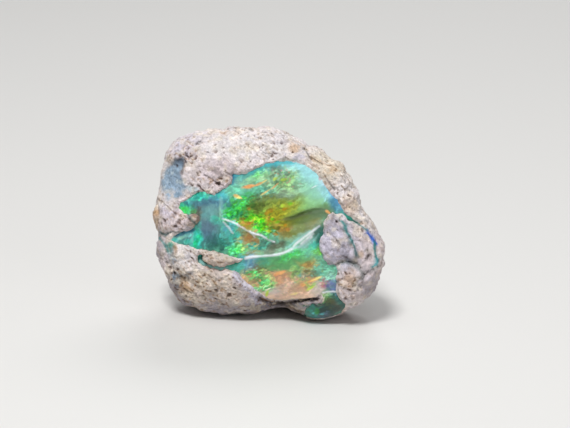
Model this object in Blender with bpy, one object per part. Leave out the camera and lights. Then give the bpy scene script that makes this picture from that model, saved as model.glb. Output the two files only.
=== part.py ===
"""A rough Ethiopian opal, a nodule broken open on one side.

Two solids that grew together: matrix, the pale pitted rhyolite round the nodule, and opal, the glassy
mass that filled its hollow and shows on the broken face.

Metres, +Z up. The stone rests on Z = 0 with the origin under the middle of its box, and its broken face
looks towards -Y and a little up. It is drawn in a face frame, in millimetres: u to the right across the
face, v up it and w straight out of it.
"""

import math

import bmesh
import bpy
import numpy as np
from mathutils import Matrix, Vector, noise

MM = 0.001

# How the stone rests: its face frame leans back, and turns a little about w.
LEAN = math.radians(16.0)
TURN = math.radians(2.6)
FLOOR_Z = -12.2  # height of the surface it rests on, before the origin is moved there

# Depth of the broken face, of the back and of the edge between them.
ROCK_FACE = 5.0
OPAL_FACE = 4.8
FACE_RISE = 0.09  # the face comes forward by this much for each millimetre up
BACK = -8.2
EDGE_SIDE = -0.1
EDGE_TOP_DROP = 2.4
EDGE_BOTTOM_DROP = 0.9

# How boxy the stone is in section: 2 is an ellipse, and more is fuller near the edge.
FRONT_POWER = 2.9
RIGHT_POWER = 4.8
BACK_POWER = 2.6
HEEL_POWER = 4.6  # at the bottom of the back, where the stone stands

# The rock's unevenness: a soft swell, and chunks with creases between them.
SWELL = 0.26
SWELL_SIZE = 3.4
CHUNK = 0.55
CHUNK_SIZE = 2.6
SEED_OFFSET = Vector((31.0, 7.0, 19.0))

JOIN_GAP = 0.3  # clear space between the two solids, along the wall where they meet
HOLLOW_FRONT = 14.0
HOLLOW_BACK = -6.0
HOLLOW_CENTRE = (-0.5, -1.5, 3.2)
HOLLOW_RADII = (14.5, 12.0, 5.6)
HOLLOW_POWER = 3.0

MATRIX_SUBDIVISIONS = 5
OPAL_SUBDIVISIONS = 6
ROCK_COLOUR = (0.60, 0.53, 0.48, 1.0)
OPAL_COLOUR = (0.22, 0.60, 0.40, 1.0)

# The stone's outline, seen square on to the face.
OUTLINE = [
    (-5.0, 12.45), (-3.2, 12.6), (-1.6, 12.5), (0.8, 12.45), (2.0, 12.1), (3.2, 11.3), (5.0, 10.4),
    (7.0, 9.4), (8.0, 8.6), (9.4, 7.75), (10.1, 6.9), (11.2, 5.1), (11.75, 3.9), (11.95, 2.7),
    (12.8, 1.2), (13.8, -0.5), (14.7, -2.1), (15.05, -3.6), (14.9, -5.4), (14.3, -7.7), (13.4, -9.1),
    (11.6, -10.6), (10.0, -11.6), (8.2, -12.35), (6.4, -12.55), (5.0, -12.3), (4.0, -11.6), (2.4, -11.0),
    (1.2, -10.8), (-0.2, -11.2), (-2.5, -11.75), (-5.0, -11.85), (-8.0, -11.5), (-10.0, -10.9),
    (-11.7, -9.9), (-12.9, -8.2), (-13.6, -6.3), (-14.4, -4.6), (-14.6, -3.0), (-14.35, -1.6),
    (-14.3, -1.1), (-14.9, -0.2), (-15.05, 0.9), (-14.7, 2.5), (-14.2, 4.4), (-13.8, 7.0), (-13.7, 8.8),
    (-13.1, 10.0), (-11.9, 11.2), (-10.0, 11.9), (-7.5, 12.35),
]

# Where the opal meets the rock on the face, from the tip at the upper left, clockwise.
OPAL_OUTLINE = [
    (-4.6, 6.5), (-3.2, 6.4), (-1.2, 7.35), (0.6, 8.05), (2.3, 8.2), (4.4, 7.85), (5.7, 7.1), (6.9, 5.9),
    (7.6, 5.0), (8.6, 3.6), (9.6, 2.2), (11.1, 0.8), (10.6, 0.35), (9.4, 1.1), (8.2, 1.5), (7.2, 0.4),
    (6.9, -0.6), (6.6, -2.2), (6.6, -3.4), (7.1, -4.7), (8.2, -5.2), (8.9, -5.9), (8.7, -7.4), (8.8, -9.3),
    (9.7, -10.5), (9.3, -11.5), (8.6, -13.4), (4.9, -13.4), (4.7, -11.6), (5.5, -10.7), (6.8, -10.4),
    (6.8, -9.7), (1.4, -10.05), (-0.4, -9.8), (-1.8, -8.7), (-3.1, -7.5), (-4.6, -6.1),
    (-4.9, -5.6), (-3.6, -4.9), (-5.2, -4.2), (-8.2, -3.3), (-9.9, -3.1), (-11.4, -2.8),
    (-12.9, -2.3), (-12.4, -1.4), (-10.4, -1.0), (-9.3, -0.1), (-8.8, 0.8), (-9.7, 1.4), (-11.0, 1.5),
    (-11.8, 2.2), (-10.8, 3.0), (-9.4, 3.9), (-8.2, 4.0), (-6.9, 3.8), (-5.4, 4.8), (-4.7, 5.7),
]

# Soft dishes in the opal's broken face: centre u and v, half-lengths, turn in degrees, depth.
DISHES = [
    (1.6, 2.4, 5.6, 3.6, 4.0, 1.15),
    (-7.8, -1.2, 2.6, 2.2, -15.0, 0.75),
    (-8.4, 2.3, 2.8, 1.4, 0.0, 0.35),
    (1.4, -6.4, 6.0, 2.2, -4.0, 0.6),
    (7.8, -7.2, 1.3, 2.2, 5.0, 0.65),
    (-0.5, -3.0, 4.5, 1.0, 2.0, 0.35),
]

# Sharp ridges where two shell-shaped fractures meet: u and v of each point, the height there, and how far
# the slope runs on the left of the line and on its right.
RIDGES = [
    [
        (-6.3, 0.7, 0.0, 1.2, 0.8), (-5.6, 0.35, 0.35, 1.6, 0.9), (-4.0, -0.2, 0.75, 1.9, 0.8),
        (-2.4, -1.1, 0.85, 1.9, 0.8), (-0.5, -1.8, 0.75, 1.6, 0.6), (0.7, -2.4, 0.4, 1.2, 0.5),
        (1.6, -2.8, 0.0, 1.0, 0.5),
    ],
    [
        (-4.0, -4.55, 0.0, 0.8, 1.0), (-3.0, -4.45, 0.45, 0.8, 1.5), (-1.5, -4.3, 0.8, 0.8, 2.0),
        (0.5, -4.1, 0.9, 0.8, 2.2), (2.2, -3.8, 0.95, 0.8, 2.2), (3.4, -3.2, 1.0, 0.9, 2.0),
        (5.0, -1.9, 1.0, 1.0, 1.4), (5.9, -0.9, 0.8, 1.0, 1.2), (6.8, 0.0, 0.4, 0.9, 1.0),
        (7.3, 0.7, 0.0, 0.8, 1.0),
    ],
    [
        (-11.0, 3.0, 0.0, 1.6, 0.8), (-9.0, 3.05, 0.3, 1.6, 0.8), (-6.0, 3.0, 0.4, 1.8, 0.9),
        (-4.0, 3.2, 0.35, 1.8, 1.0), (-2.0, 3.7, 0.3, 1.8, 1.0), (0.0, 4.5, 0.22, 1.6, 1.0),
        (2.0, 5.7, 0.0, 1.5, 1.0),
    ],
    [
        (-6.2, 4.0, 0.0, 1.5, 0.6), (-6.15, 2.6, 0.35, 1.7, 0.7), (-6.1, 1.4, 0.5, 1.8, 0.8),
        (-5.95, 0.4, 0.45, 1.8, 0.8), (-5.3, -0.4, 0.4, 0.8, 1.6), (-4.6, -1.3, 0.35, 0.7, 1.5),
        (-4.3, -2.6, 0.0, 0.6, 1.4),
    ],
    [(-2.5, -0.95, 0.0, 0.5, 0.5), (-1.9, -1.6, 0.22, 0.5, 0.6), (-1.1, -2.6, 0.0, 0.5, 0.5)],
]

# The upper lip of the crescent scoop: u and v of each point, how deep the face drops on the right of the
# line, how far the drop takes, and how far the climb back out takes.
SCOOP = [
    (0.6, 0.2, 0.0, 0.3, 1.3), (1.5, 0.55, 0.5, 0.4, 1.3), (3.0, 1.0, 1.5, 0.45, 1.3),
    (4.5, 1.6, 1.9, 0.45, 1.4), (6.0, 2.0, 1.6, 0.45, 1.2), (7.2, 1.95, 0.6, 0.4, 0.9),
    (7.9, 1.6, 0.0, 0.3, 0.8),
]

# Lumps of rock: centre u and v, half-widths, turn in degrees, height (a hollow is negative).
LUMPS = [
    (9.2, -2.2, 2.6, 3.2, 0.0, 0.75),
    (11.0, -8.3, 2.8, 2.4, 25.0, 0.85),
    (13.6, -3.6, 1.6, 3.0, 0.0, 0.35),
    (13.0, -6.6, 1.3, 1.7, 0.0, 0.3),
    (-7.0, -8.0, 4.8, 2.3, -12.0, 0.85),
    (-11.2, -4.6, 2.3, 1.6, -20.0, 0.45),
    (-6.3, -4.7, 2.8, 0.9, -14.0, 0.5),
    (-12.9, 0.7, 2.6, 1.9, -15.0, 0.65),
    (-6.6, 7.8, 3.6, 3.4, 0.0, 0.5),
    (-12.6, 6.0, 1.5, 3.0, 0.0, -0.7),
    (2.0, 10.6, 5.0, 1.6, -8.0, 0.25),
    (9.2, 6.2, 1.6, 3.2, 35.0, 0.35),
    (2.0, -11.2, 2.6, 1.3, 5.0, -1.1),
]

# Creases between the rock's lobes: width, depth, then the points of the line.
CREASES = [
    (0.55, 0.55, [(8.4, -5.3), (10.0, -4.9), (11.6, -5.5), (12.5, -6.6), (12.0, -8.0)]),
    (0.40, 0.30, [(9.5, 0.8), (10.3, -0.9), (11.2, -2.6), (11.7, -4.4)]),
    (0.45, 0.45, [(-15.2, -1.2), (-13.7, -1.4), (-12.7, -1.1)]),
    (0.40, 0.35, [(-15.0, 3.2), (-13.8, 3.0), (-12.7, 1.9), (-11.9, 1.4)]),
    (0.45, 0.40, [(4.9, 9.9), (5.6, 8.6), (6.8, 7.3), (7.9, 5.4), (8.9, 3.9)]),
    (0.50, 0.35, [(-9.3, -3.4), (-9.2, -4.6), (-7.9, -5.5), (-6.2, -6.0), (-4.9, -5.8)]),
]

# Pits and dents in the rock's face: centre u and v, half-lengths, turn in degrees, depth.
PITS = [
    (4.7, 9.8, 0.8, 0.7, 0.0, 0.7),
    (6.3, 8.0, 0.9, 0.6, -30.0, 0.5),
    (-9.1, 10.6, 1.0, 0.5, 40.0, 0.5),
    (-10.3, 8.8, 0.9, 0.7, 0.0, 0.4),
    (-1.9, 12.0, 1.0, 0.7, 0.0, 0.6),
    (-2.2, 9.6, 1.3, 0.6, -20.0, 0.3),
    (10.2, 4.3, 0.7, 0.6, 0.0, 0.4),
    (12.9, -4.3, 0.7, 1.0, 0.0, 0.5),
    (-13.3, -5.0, 0.8, 0.9, 0.0, 0.5),
    (-8.2, -7.6, 0.9, 0.8, 0.0, 0.45),
    (-3.7, -9.4, 0.9, 0.7, 0.0, 0.4),
    (-11.0, -7.0, 0.8, 0.6, 20.0, 0.4),
]

# Broad lumps and flats of the unbroken back, in the same form as LUMPS, with height outwards.
BACK_LUMPS = [
    (-5.5, 4.0, 4.5, 4.0, 20.0, 0.9),
    (6.5, 1.0, 4.5, 5.0, -15.0, 0.7),
    (0.0, -8.0, 7.0, 3.0, 0.0, 0.9),
    (1.0, 7.5, 3.5, 2.5, 0.0, -0.7),
    (-10.0, -4.5, 3.0, 2.5, 0.0, 0.5),
]


def face_matrix():
    """Carries a point of the face frame, in millimetres, to the leaning stone, still in millimetres."""
    across = Vector((1.0, 0.0, 0.0))
    up = Vector((0.0, math.sin(LEAN), math.cos(LEAN)))
    out = Vector((0.0, -math.cos(LEAN), math.sin(LEAN)))
    u_axis = across * math.cos(TURN) + up * math.sin(TURN)
    v_axis = up * math.cos(TURN) - across * math.sin(TURN)
    return Matrix((u_axis, v_axis, out)).transposed()


def radius_towards(angle):
    """The outline's distance from the face frame's origin, smooth and closed, at these angles."""
    points = np.array(OUTLINE)
    at = np.arctan2(points[:, 1], points[:, 0])
    order = np.argsort(at)
    at, far = at[order], np.hypot(points[:, 0], points[:, 1])[order]
    at = np.concatenate([at[-2:] - math.tau, at, at[:2] + math.tau])
    far = np.concatenate([far[-2:], far, far[:2]])
    slope = np.zeros_like(far)
    slope[1:-1] = (far[2:] - far[:-2]) / (at[2:] - at[:-2])
    i = np.clip(np.searchsorted(at, angle) - 1, 1, len(at) - 3)
    span = at[i + 1] - at[i]
    t = (angle - at[i]) / span
    return (
        far[i] * (1 + 2 * t) * (1 - t) ** 2
        + slope[i] * span * t * (1 - t) ** 2
        + far[i + 1] * t**2 * (3 - 2 * t)
        + slope[i + 1] * span * t**2 * (t - 1)
    )


def even_profile(power, flatness, samples=600):
    """Steps of equal length along a superellipse, from its pole to its rim: shares and radii."""
    angle = np.linspace(0.0, math.pi / 2, samples)
    radius = np.sin(angle) ** (2 / power)
    height = np.cos(angle) ** (2 / power) * flatness
    length = np.concatenate([[0.0], np.cumsum(np.hypot(np.diff(radius), np.diff(height)))])
    return length / length[-1], radius


def turned(u, v, centre, degrees):
    """The points in axes through centre, turned by degrees."""
    c, s = math.cos(math.radians(degrees)), math.sin(math.radians(degrees))
    du, dv = u - centre[0], v - centre[1]
    return du * c + dv * s, dv * c - du * s


def distance_to_line(u, v, line):
    """The distance of each point from a line of straight runs."""
    best = np.full(u.shape, np.inf)
    for (au, av), (bu, bv) in zip(line[:-1], line[1:]):
        run_u, run_v = bu - au, bv - av
        t = np.clip(((u - au) * run_u + (v - av) * run_v) / (run_u**2 + run_v**2), 0.0, 1.0)
        best = np.minimum(best, np.hypot(u - au - t * run_u, v - av - t * run_v))
    return best


def lump_height(u, v, lumps):
    """Soft domes and hollows added together."""
    height = np.zeros(u.shape)
    for cu, cv, half_u, half_v, turn, top in lumps:
        along, across = turned(u, v, (cu, cv), turn)
        height += top * np.exp(-((along / half_u) ** 2) - (across / half_v) ** 2)
    return height


def rock_face(u, v):
    """Depth of the rock's side of the broken face: a plane with lumps and creases."""
    face = ROCK_FACE + FACE_RISE * v + lump_height(u, v, LUMPS)
    for width, depth, line in CREASES:
        face -= depth * np.exp(-((distance_to_line(u, v, line) / width) ** 2))
    return face - lump_height(u, v, PITS)


def smooth_line(rows, steps=8):
    """A curve through the rows, cut into this many straight runs between each two of them."""
    rows = np.array(rows)
    p = np.concatenate([2 * rows[:1] - rows[1:2], rows, 2 * rows[-1:] - rows[-2:-1]])
    t = (np.arange(steps) / steps)[:, None]
    runs = [
        b + (c - a) * t / 2 + (2 * a - 5 * b + 4 * c - d) * t**2 / 2 + (3 * b - a - 3 * c + d) * t**3 / 2
        for a, b, c, d in zip(p[:-3], p[1:-2], p[2:-1], p[3:])
    ]
    return np.concatenate([*runs, p[-2:-1]])


def beside_line(u, v, rows):
    """For each point: its distance from the line, how far it is on the left of it, from 0 to 1, and the
    line's three other numbers as they are nearby."""
    far = np.full(u.shape, np.inf)
    left = np.zeros(u.shape)
    total = np.zeros(u.shape)
    nearby = np.zeros((3, *u.shape))
    for start, end in zip(rows[:-1], rows[1:]):
        run_u, run_v = end[:2] - start[:2]
        length = math.hypot(run_u, run_v)
        from_u, from_v = u - start[0], v - start[1]
        t = np.clip((from_u * run_u + from_v * run_v) / length**2, 0.0, 1.0)
        here = np.hypot(from_u - t * run_u, from_v - t * run_v)
        side = (run_u * from_v - run_v * from_u) / (length * np.maximum(here, 1e-9))
        left = np.where(here < far, side, left)
        far = np.minimum(far, here)
        middle = (start + end) / 2
        weight = length / ((u - middle[0]) ** 2 + (v - middle[1]) ** 2 + 0.02) ** 2
        total += weight
        nearby += weight * middle[2:, None]
    return far, np.clip(0.5 + 0.5 * left, 0.0, 1.0), nearby / total


def opal_face(u, v):
    """Depth of the opal's broken face: a plane with soft dishes, sharp ridges and one deep scoop."""
    face = OPAL_FACE + FACE_RISE * v - lump_height(u, v, DISHES)
    for ridge in RIDGES:
        far, left, (height, left_run, right_run) = beside_line(u, v, smooth_line(ridge))
        face += np.maximum(height, 0.0) * np.exp(-far / (right_run + (left_run - right_run) * left))
    far, left, (depth, drop_run, climb_run) = beside_line(u, v, smooth_line(SCOOP))
    scoop = (1 - np.exp(-far / drop_run)) * np.exp(-far / climb_run)
    return face - (1 - left) * np.maximum(depth, 0.0) * scoop


def back_face(u, v):
    """Depth of the unbroken back."""
    return BACK - lump_height(u, v, BACK_LUMPS)


def edge_depth(angle):
    """Depth of the edge between face and back, which lies further back at the top."""
    up = np.sin(angle)
    return EDGE_SIDE - EDGE_TOP_DROP * np.maximum(up, 0) ** 2 - EDGE_BOTTOM_DROP * np.maximum(-up, 0) ** 2


def front_power(angle):
    """The broken face stays nearly flat out to the edge on the right, and rounds off sooner elsewhere."""
    return FRONT_POWER + (RIGHT_POWER - FRONT_POWER) * np.clip(np.cos(angle), 0, 1) ** 2


def back_power(angle):
    """The back is fuller towards the bottom, where it makes the heel that the stone stands on."""
    return BACK_POWER + (HEEL_POWER - BACK_POWER) * np.clip(-np.sin(angle), 0, 1) ** 2


def stone_points(sphere, face):
    """The points of a unit sphere, w along its poles, moved to the stone's surface in the face frame."""
    angle = np.arctan2(sphere[:, 1], sphere[:, 0])
    from_pole = np.arccos(np.clip(sphere[:, 2], -1.0, 1.0)) / (math.pi / 2)
    front = from_pole <= 1.0
    share, radius = even_profile(FRONT_POWER, (ROCK_FACE - EDGE_SIDE) / OUTLINE[0][1])
    reach = np.interp(np.where(front, from_pole, 2.0 - from_pole), share, radius)
    u = reach * radius_towards(angle) * np.cos(angle)
    v = reach * radius_towards(angle) * np.sin(angle)
    power = np.where(front, front_power(angle), back_power(angle))
    fullness = np.clip(1 - reach**power, 0, 1) ** (1 / power)
    middle = np.where(front, face(u, v), back_face(u, v))
    w = edge_depth(angle) * (1 - fullness) + middle * fullness
    return np.stack([u, v, w], axis=1)


def rock_grain(place):
    """How far the rock stands out at a point: a swell, and chunks that drop away where two meet."""
    swell = noise.fractal(place / SWELL_SIZE + SEED_OFFSET, 0.9, 2.1, 3)
    nearest, next_nearest = noise.voronoi(place / CHUNK_SIZE + SEED_OFFSET)[0][:2]
    return SWELL * swell + CHUNK * min(next_nearest - nearest, 0.5)


def roughened(points, normals):
    """The points moved along their normals by the rock's grain, about the middle of its range."""
    grain = np.array([rock_grain(Vector(point)) for point in points.tolist()])
    return points + normals * (grain - grain.mean())[:, None]


def resting(points):
    """The points on the leaning stone, in millimetres, with its foot worn flat on Z = FLOOR_Z."""
    placed = points @ np.array(face_matrix()).T
    placed[:, 2] = np.maximum(placed[:, 2], FLOOR_Z)
    return placed


def sphere_mesh(subdivisions):
    """A unit icosphere as a bmesh, with its points as an array."""
    ball = bmesh.new()
    bmesh.ops.create_icosphere(ball, subdivisions=subdivisions, radius=1.0)
    return ball, np.array([vert.co for vert in ball.verts])


def set_points(ball, points):
    for vert, place in zip(ball.verts, points.tolist()):
        vert.co = place
    ball.normal_update()


def stone_body(name, face, subdivisions, rough):
    """The whole nodule as one closed mesh object in millimetres, with the given broken face."""
    ball, sphere = sphere_mesh(subdivisions)
    points = stone_points(sphere, face)
    if rough:
        set_points(ball, points)
        points = roughened(points, np.array([vert.normal for vert in ball.verts]))
    set_points(ball, resting(points))
    return object_from(name, ball)


def object_from(name, ball):
    mesh = bpy.data.meshes.new(name)
    ball.to_mesh(mesh)
    ball.free()
    return bpy.data.objects.new(name, mesh)


def grown(outline, by):
    """A closed clockwise outline moved outwards by this much, each point along the mean of its sides."""
    points = np.array(outline)
    ahead = np.roll(points, -1, axis=0) - points
    ahead /= np.hypot(ahead[:, 0], ahead[:, 1])[:, None]
    outwards = np.stack([-ahead[:, 1], ahead[:, 0]], axis=1)
    mean = outwards + np.roll(outwards, 1, axis=0)
    mean /= np.maximum((mean**2).sum(axis=1), 1.0)[:, None] / 2
    return points + mean * by


def outline_prism(name, outline):
    """A straight-sided solid on the outline, along w, made from a filled 2D curve."""
    curve = bpy.data.curves.new(name + "_outline", "CURVE")
    curve.dimensions = "2D"
    curve.fill_mode = "BOTH"
    curve.extrude = (HOLLOW_FRONT - HOLLOW_BACK) / 2
    spline = curve.splines.new("POLY")
    spline.points.add(len(outline) - 1)
    for point, (u, v) in zip(spline.points, outline.tolist()):
        point.co = (u, v, 0.0, 1.0)
    spline.use_cyclic_u = True
    drawn = bpy.data.objects.new(name + "_outline", curve)
    drawn.matrix_world = face_matrix().to_4x4() @ Matrix.Translation((0, 0, (HOLLOW_FRONT + HOLLOW_BACK) / 2))
    bpy.context.scene.collection.objects.link(drawn)
    bpy.context.view_layer.update()
    mesh = bpy.data.meshes.new_from_object(drawn.evaluated_get(bpy.context.evaluated_depsgraph_get()))
    prism = bpy.data.objects.new(name, mesh)
    prism.matrix_world = drawn.matrix_world.copy()
    bpy.data.objects.remove(drawn)
    welded = bmesh.new()
    welded.from_mesh(mesh)
    bmesh.ops.remove_doubles(welded, verts=welded.verts, dist=1e-4)
    bmesh.ops.recalc_face_normals(welded, faces=welded.faces)
    welded.to_mesh(mesh)
    welded.free()
    return prism


def hollow_floor(name, by):
    """The blunt egg-shaped hollow that the opal filled, made this much larger all round."""
    ball, sphere = sphere_mesh(4)
    reach = (np.abs(sphere) ** HOLLOW_POWER).sum(axis=1) ** (-1 / HOLLOW_POWER)
    points = sphere * reach[:, None] * (np.array(HOLLOW_RADII) + by) + np.array(HOLLOW_CENTRE)
    set_points(ball, points @ np.array(face_matrix()).T)
    return object_from(name, ball)


def add_boolean(target, operation, cutter):
    boolean = target.modifiers.new(cutter.name, "BOOLEAN")
    boolean.operation = operation
    boolean.solver = "EXACT"
    boolean.object = cutter


def opal_space(name, by, cutters):
    """The space that the opal takes, grown or shrunk by this much: its outline's prism in the hollow."""
    prism = outline_prism(name, grown(OPAL_OUTLINE, by))
    floor = hollow_floor(name + "_floor", by)
    for helper in (prism, floor):
        cutters.objects.link(helper)
        helper.hide_render = True
        helper.display_type = "WIRE"
    add_boolean(prism, "INTERSECT", floor)
    return prism


def material(name, colour, roughness):
    made = bpy.data.materials.new(name)
    made.use_nodes = True
    shader = made.node_tree.nodes["Principled BSDF"]
    shader.inputs["Base Color"].default_value = colour
    shader.inputs["Roughness"].default_value = roughness
    return made


def finish(body, origin, finish_material):
    """Applies the body's cuts, then carries it to metres with the origin under its middle."""
    bpy.context.view_layer.update()
    mesh = bpy.data.meshes.new_from_object(body.evaluated_get(bpy.context.evaluated_depsgraph_get()))
    body.modifiers.clear()
    mesh.transform(Matrix.Scale(MM, 4) @ Matrix.Translation(-origin))
    mesh.materials.clear()
    mesh.materials.append(finish_material)
    body.data = mesh
    mesh.shade_smooth()
    mesh.set_sharp_from_angle(angle=math.radians(35))


def clear_scene():
    for obj in list(bpy.data.objects):
        bpy.data.objects.remove(obj)


def collection(name):
    made = bpy.data.collections.new(name)
    bpy.context.scene.collection.children.link(made)
    return made


def main():
    clear_scene()
    stone, cutters = collection("rough_ethiopian_opal"), collection("cutters")
    matrix = stone_body("matrix", rock_face, MATRIX_SUBDIVISIONS, True)
    opal = stone_body("opal", opal_face, OPAL_SUBDIVISIONS, False)
    for body in (matrix, opal):
        stone.objects.link(body)
    corners = np.array([vert.co for vert in matrix.data.vertices])
    low, high = corners.min(axis=0), corners.max(axis=0)
    origin = Vector(((low[0] + high[0]) / 2, (low[1] + high[1]) / 2, FLOOR_Z))
    add_boolean(matrix, "DIFFERENCE", opal_space("opal_hollow", JOIN_GAP / 2, cutters))
    add_boolean(opal, "INTERSECT", opal_space("opal_fill", -JOIN_GAP / 2, cutters))
    finish(matrix, origin, material("rhyolite", ROCK_COLOUR, 0.9))
    finish(opal, origin, material("opal", OPAL_COLOUR, 0.12))
    for cutter in cutters.objects:
        cutter.modifiers.clear()


main()
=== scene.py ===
"""The looks of a rough Ethiopian opal: a glassy opal mass with its play of colour, in a pale pitted rock.

The stone is drawn in its face frame, in millimetres: u to the right across the broken face, v up it and
w straight out of it. The camera looks along -w.
"""

import itertools
import math
from typing import NamedTuple

import bmesh
import bpy
import numpy as np
from mathutils import Matrix, Vector, noise


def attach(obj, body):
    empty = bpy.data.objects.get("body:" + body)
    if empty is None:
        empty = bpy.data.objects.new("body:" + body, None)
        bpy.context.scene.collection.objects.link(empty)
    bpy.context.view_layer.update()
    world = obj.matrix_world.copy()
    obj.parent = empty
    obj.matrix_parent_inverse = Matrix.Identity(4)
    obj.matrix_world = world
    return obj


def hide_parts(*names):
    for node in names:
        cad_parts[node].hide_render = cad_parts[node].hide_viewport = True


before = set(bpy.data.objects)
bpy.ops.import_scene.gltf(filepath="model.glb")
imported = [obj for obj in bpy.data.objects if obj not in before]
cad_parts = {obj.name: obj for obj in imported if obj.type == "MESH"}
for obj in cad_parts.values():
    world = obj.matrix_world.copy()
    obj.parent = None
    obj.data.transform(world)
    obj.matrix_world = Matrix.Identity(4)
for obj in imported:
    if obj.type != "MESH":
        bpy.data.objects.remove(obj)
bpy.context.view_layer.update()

MM = 0.001

# How the stone rests: its face frame leans back, and turns a little about w.
LEAN = math.radians(16.0)
TURN = math.radians(2.6)
FLOOR_Z = -12.2

# Depth of the broken face, of the back and of the edge between them.
ROCK_FACE = 5.0
OPAL_FACE = 4.8
FACE_RISE = 0.09
BACK = -8.2
EDGE_SIDE = -0.1
EDGE_TOP_DROP = 2.4
EDGE_BOTTOM_DROP = 0.9

# How boxy the stone is in section.
FRONT_POWER = 2.9
RIGHT_POWER = 4.8
BACK_POWER = 2.6
HEEL_POWER = 4.6

# The rock's unevenness: a soft swell, and chunks with creases between them.
SWELL = 0.26
SWELL_SIZE = 3.4
SWELL_FALLOFF = 0.9
SWELL_STEP = 2.1
SWELL_LAYERS = 3
CHUNK = 0.55
CHUNK_SIZE = 2.6
CHUNK_LIMIT = 0.5
SEED_OFFSET = Vector((31.0, 7.0, 19.0))

# How finely the sphere is cut that the solid part and the fine pieces are made from.
COARSE_SUBDIVISIONS = 5
FINE_SUBDIVISIONS = 7

# The blunt egg-shaped hollow that the opal filled.
HOLLOW_CENTRE = np.array([-0.5, -1.5, 3.2])
HOLLOW_RADII = np.array([14.5, 12.0, 5.6])
HOLLOW_POWER = 3.0

# The stone's outline, seen square on to the face.
OUTLINE = [
    (-5, 12.45), (-3.2, 12.6), (-1.6, 12.5), (0.8, 12.45), (2, 12.1), (3.2, 11.3), (5, 10.4), (7, 9.4),
    (8, 8.6), (9.4, 7.75), (10.1, 6.9), (11.2, 5.1), (11.75, 3.9), (11.95, 2.7), (12.8, 1.2), (13.8, -0.5),
    (14.7, -2.1), (15.05, -3.6), (14.9, -5.4), (14.3, -7.7), (13.4, -9.1), (11.6, -10.6), (10, -11.6),
    (8.2, -12.35), (6.4, -12.55), (5, -12.3), (4, -11.6), (2.4, -11), (1.2, -10.8), (-0.2, -11.2),
    (-2.5, -11.75), (-5, -11.85), (-8, -11.5), (-10, -10.9), (-11.7, -9.9), (-12.9, -8.2), (-13.6, -6.3),
    (-14.4, -4.6), (-14.6, -3), (-14.35, -1.6), (-14.3, -1.1), (-14.9, -0.2), (-15.05, 0.9), (-14.7, 2.5),
    (-14.2, 4.4), (-13.8, 7), (-13.7, 8.8), (-13.1, 10), (-11.9, 11.2), (-10, 11.9), (-7.5, 12.35),
]

# Where the opal meets the rock on the face, from the tip at the upper left, clockwise.
WINDOW = [
    (-4.6, 6.5), (-3.2, 6.4), (-2.2, 6.9), (-1.2, 7.4), (-0.3, 7.8), (0.8, 8.05), (2.2, 8.2), (3.4, 8.05),
    (4.6, 7.75), (5.6, 7.2), (6.3, 6.5), (7, 5.9), (7.4, 5.2), (8, 4.4), (8.7, 3.5), (9.3, 2.5), (10, 1.5),
    (11, 0.75), (12.1, 0), (12, -0.2), (11, 0.35), (10.3, 0.6), (9.6, 1.1), (9, 1.2), (8.3, 1.55),
    (7.7, 1.1), (7.2, 0.4), (7, -0.4), (7, -1.3), (6.6, -2.2), (6.5, -3), (6.8, -4), (7.2, -4.8), (8, -5.2),
    (8.8, -5.3), (8.9, -5.9), (8.8, -6.8), (8.7, -7.8), (8.7, -8.8), (8.9, -9.6), (9.6, -10.3),
    (10.1, -10.8), (9.6, -11.6), (8.6, -13.4), (4.5, -13.4), (4.6, -12), (4.8, -11.1), (5.6, -10.6),
    (6.9, -10.5), (7.1, -9.8), (6.9, -9.5), (6, -9.65), (4.5, -9.85), (3, -10), (1.4, -10.1), (0.3, -10),
    (-0.6, -9.6), (-1.4, -9), (-2.4, -8.1), (-3.1, -7.5), (-3.7, -6.8), (-4.3, -6.2), (-5.2, -5.95),
    (-6.2, -6.05), (-7.3, -5.9), (-8.5, -5.45), (-9.2, -4.9), (-9.3, -4.2), (-9, -3.9), (-8.7, -4.2),
    (-8.6, -4.8), (-8, -5.25), (-7, -5.6), (-6.1, -5.8), (-5.2, -5.6), (-4.4, -5.2), (-3.5, -4.9),
    (-3.3, -4.55), (-4, -4.45), (-5, -4.15), (-6.2, -3.75), (-7, -3.5), (-8, -3.35), (-9, -3.4),
    (-9.8, -3.1), (-10.6, -2.85), (-11.6, -2.7), (-12.9, -2.2), (-12.6, -1.7), (-11.6, -1.2),
    (-10.6, -0.95), (-9.8, -0.6), (-9.4, -0.2), (-9, 0.3), (-9.1, 1), (-9.6, 1.35), (-10.3, 1.2),
    (-10.8, 1.3), (-11.4, 1.5), (-11.85, 2), (-11.6, 2.7), (-10.8, 3), (-10.2, 3.4), (-9.6, 3.9),
    (-8.7, 4.15), (-8, 3.9), (-7, 3.75), (-6.2, 4.3), (-5.4, 4.8), (-4.8, 5.2), (-4.7, 5.8),
]

# Soft dishes in the opal's broken face: centre u and v, half-lengths, turn in degrees, depth.
DISHES = [
    (1.6, 2.4, 5.6, 3.6, 4, 1.15), (-7.8, -1.2, 2.6, 2.2, -15, 0.75), (-8.4, 2.3, 2.8, 1.4, 0, 0.35),
    (1.4, -6.4, 6, 2.2, -4, 0.6), (7.8, -7.2, 1.3, 2.2, 5, 0.65), (-0.5, -3, 4.5, 1, 2, 0.35),
]

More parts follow.
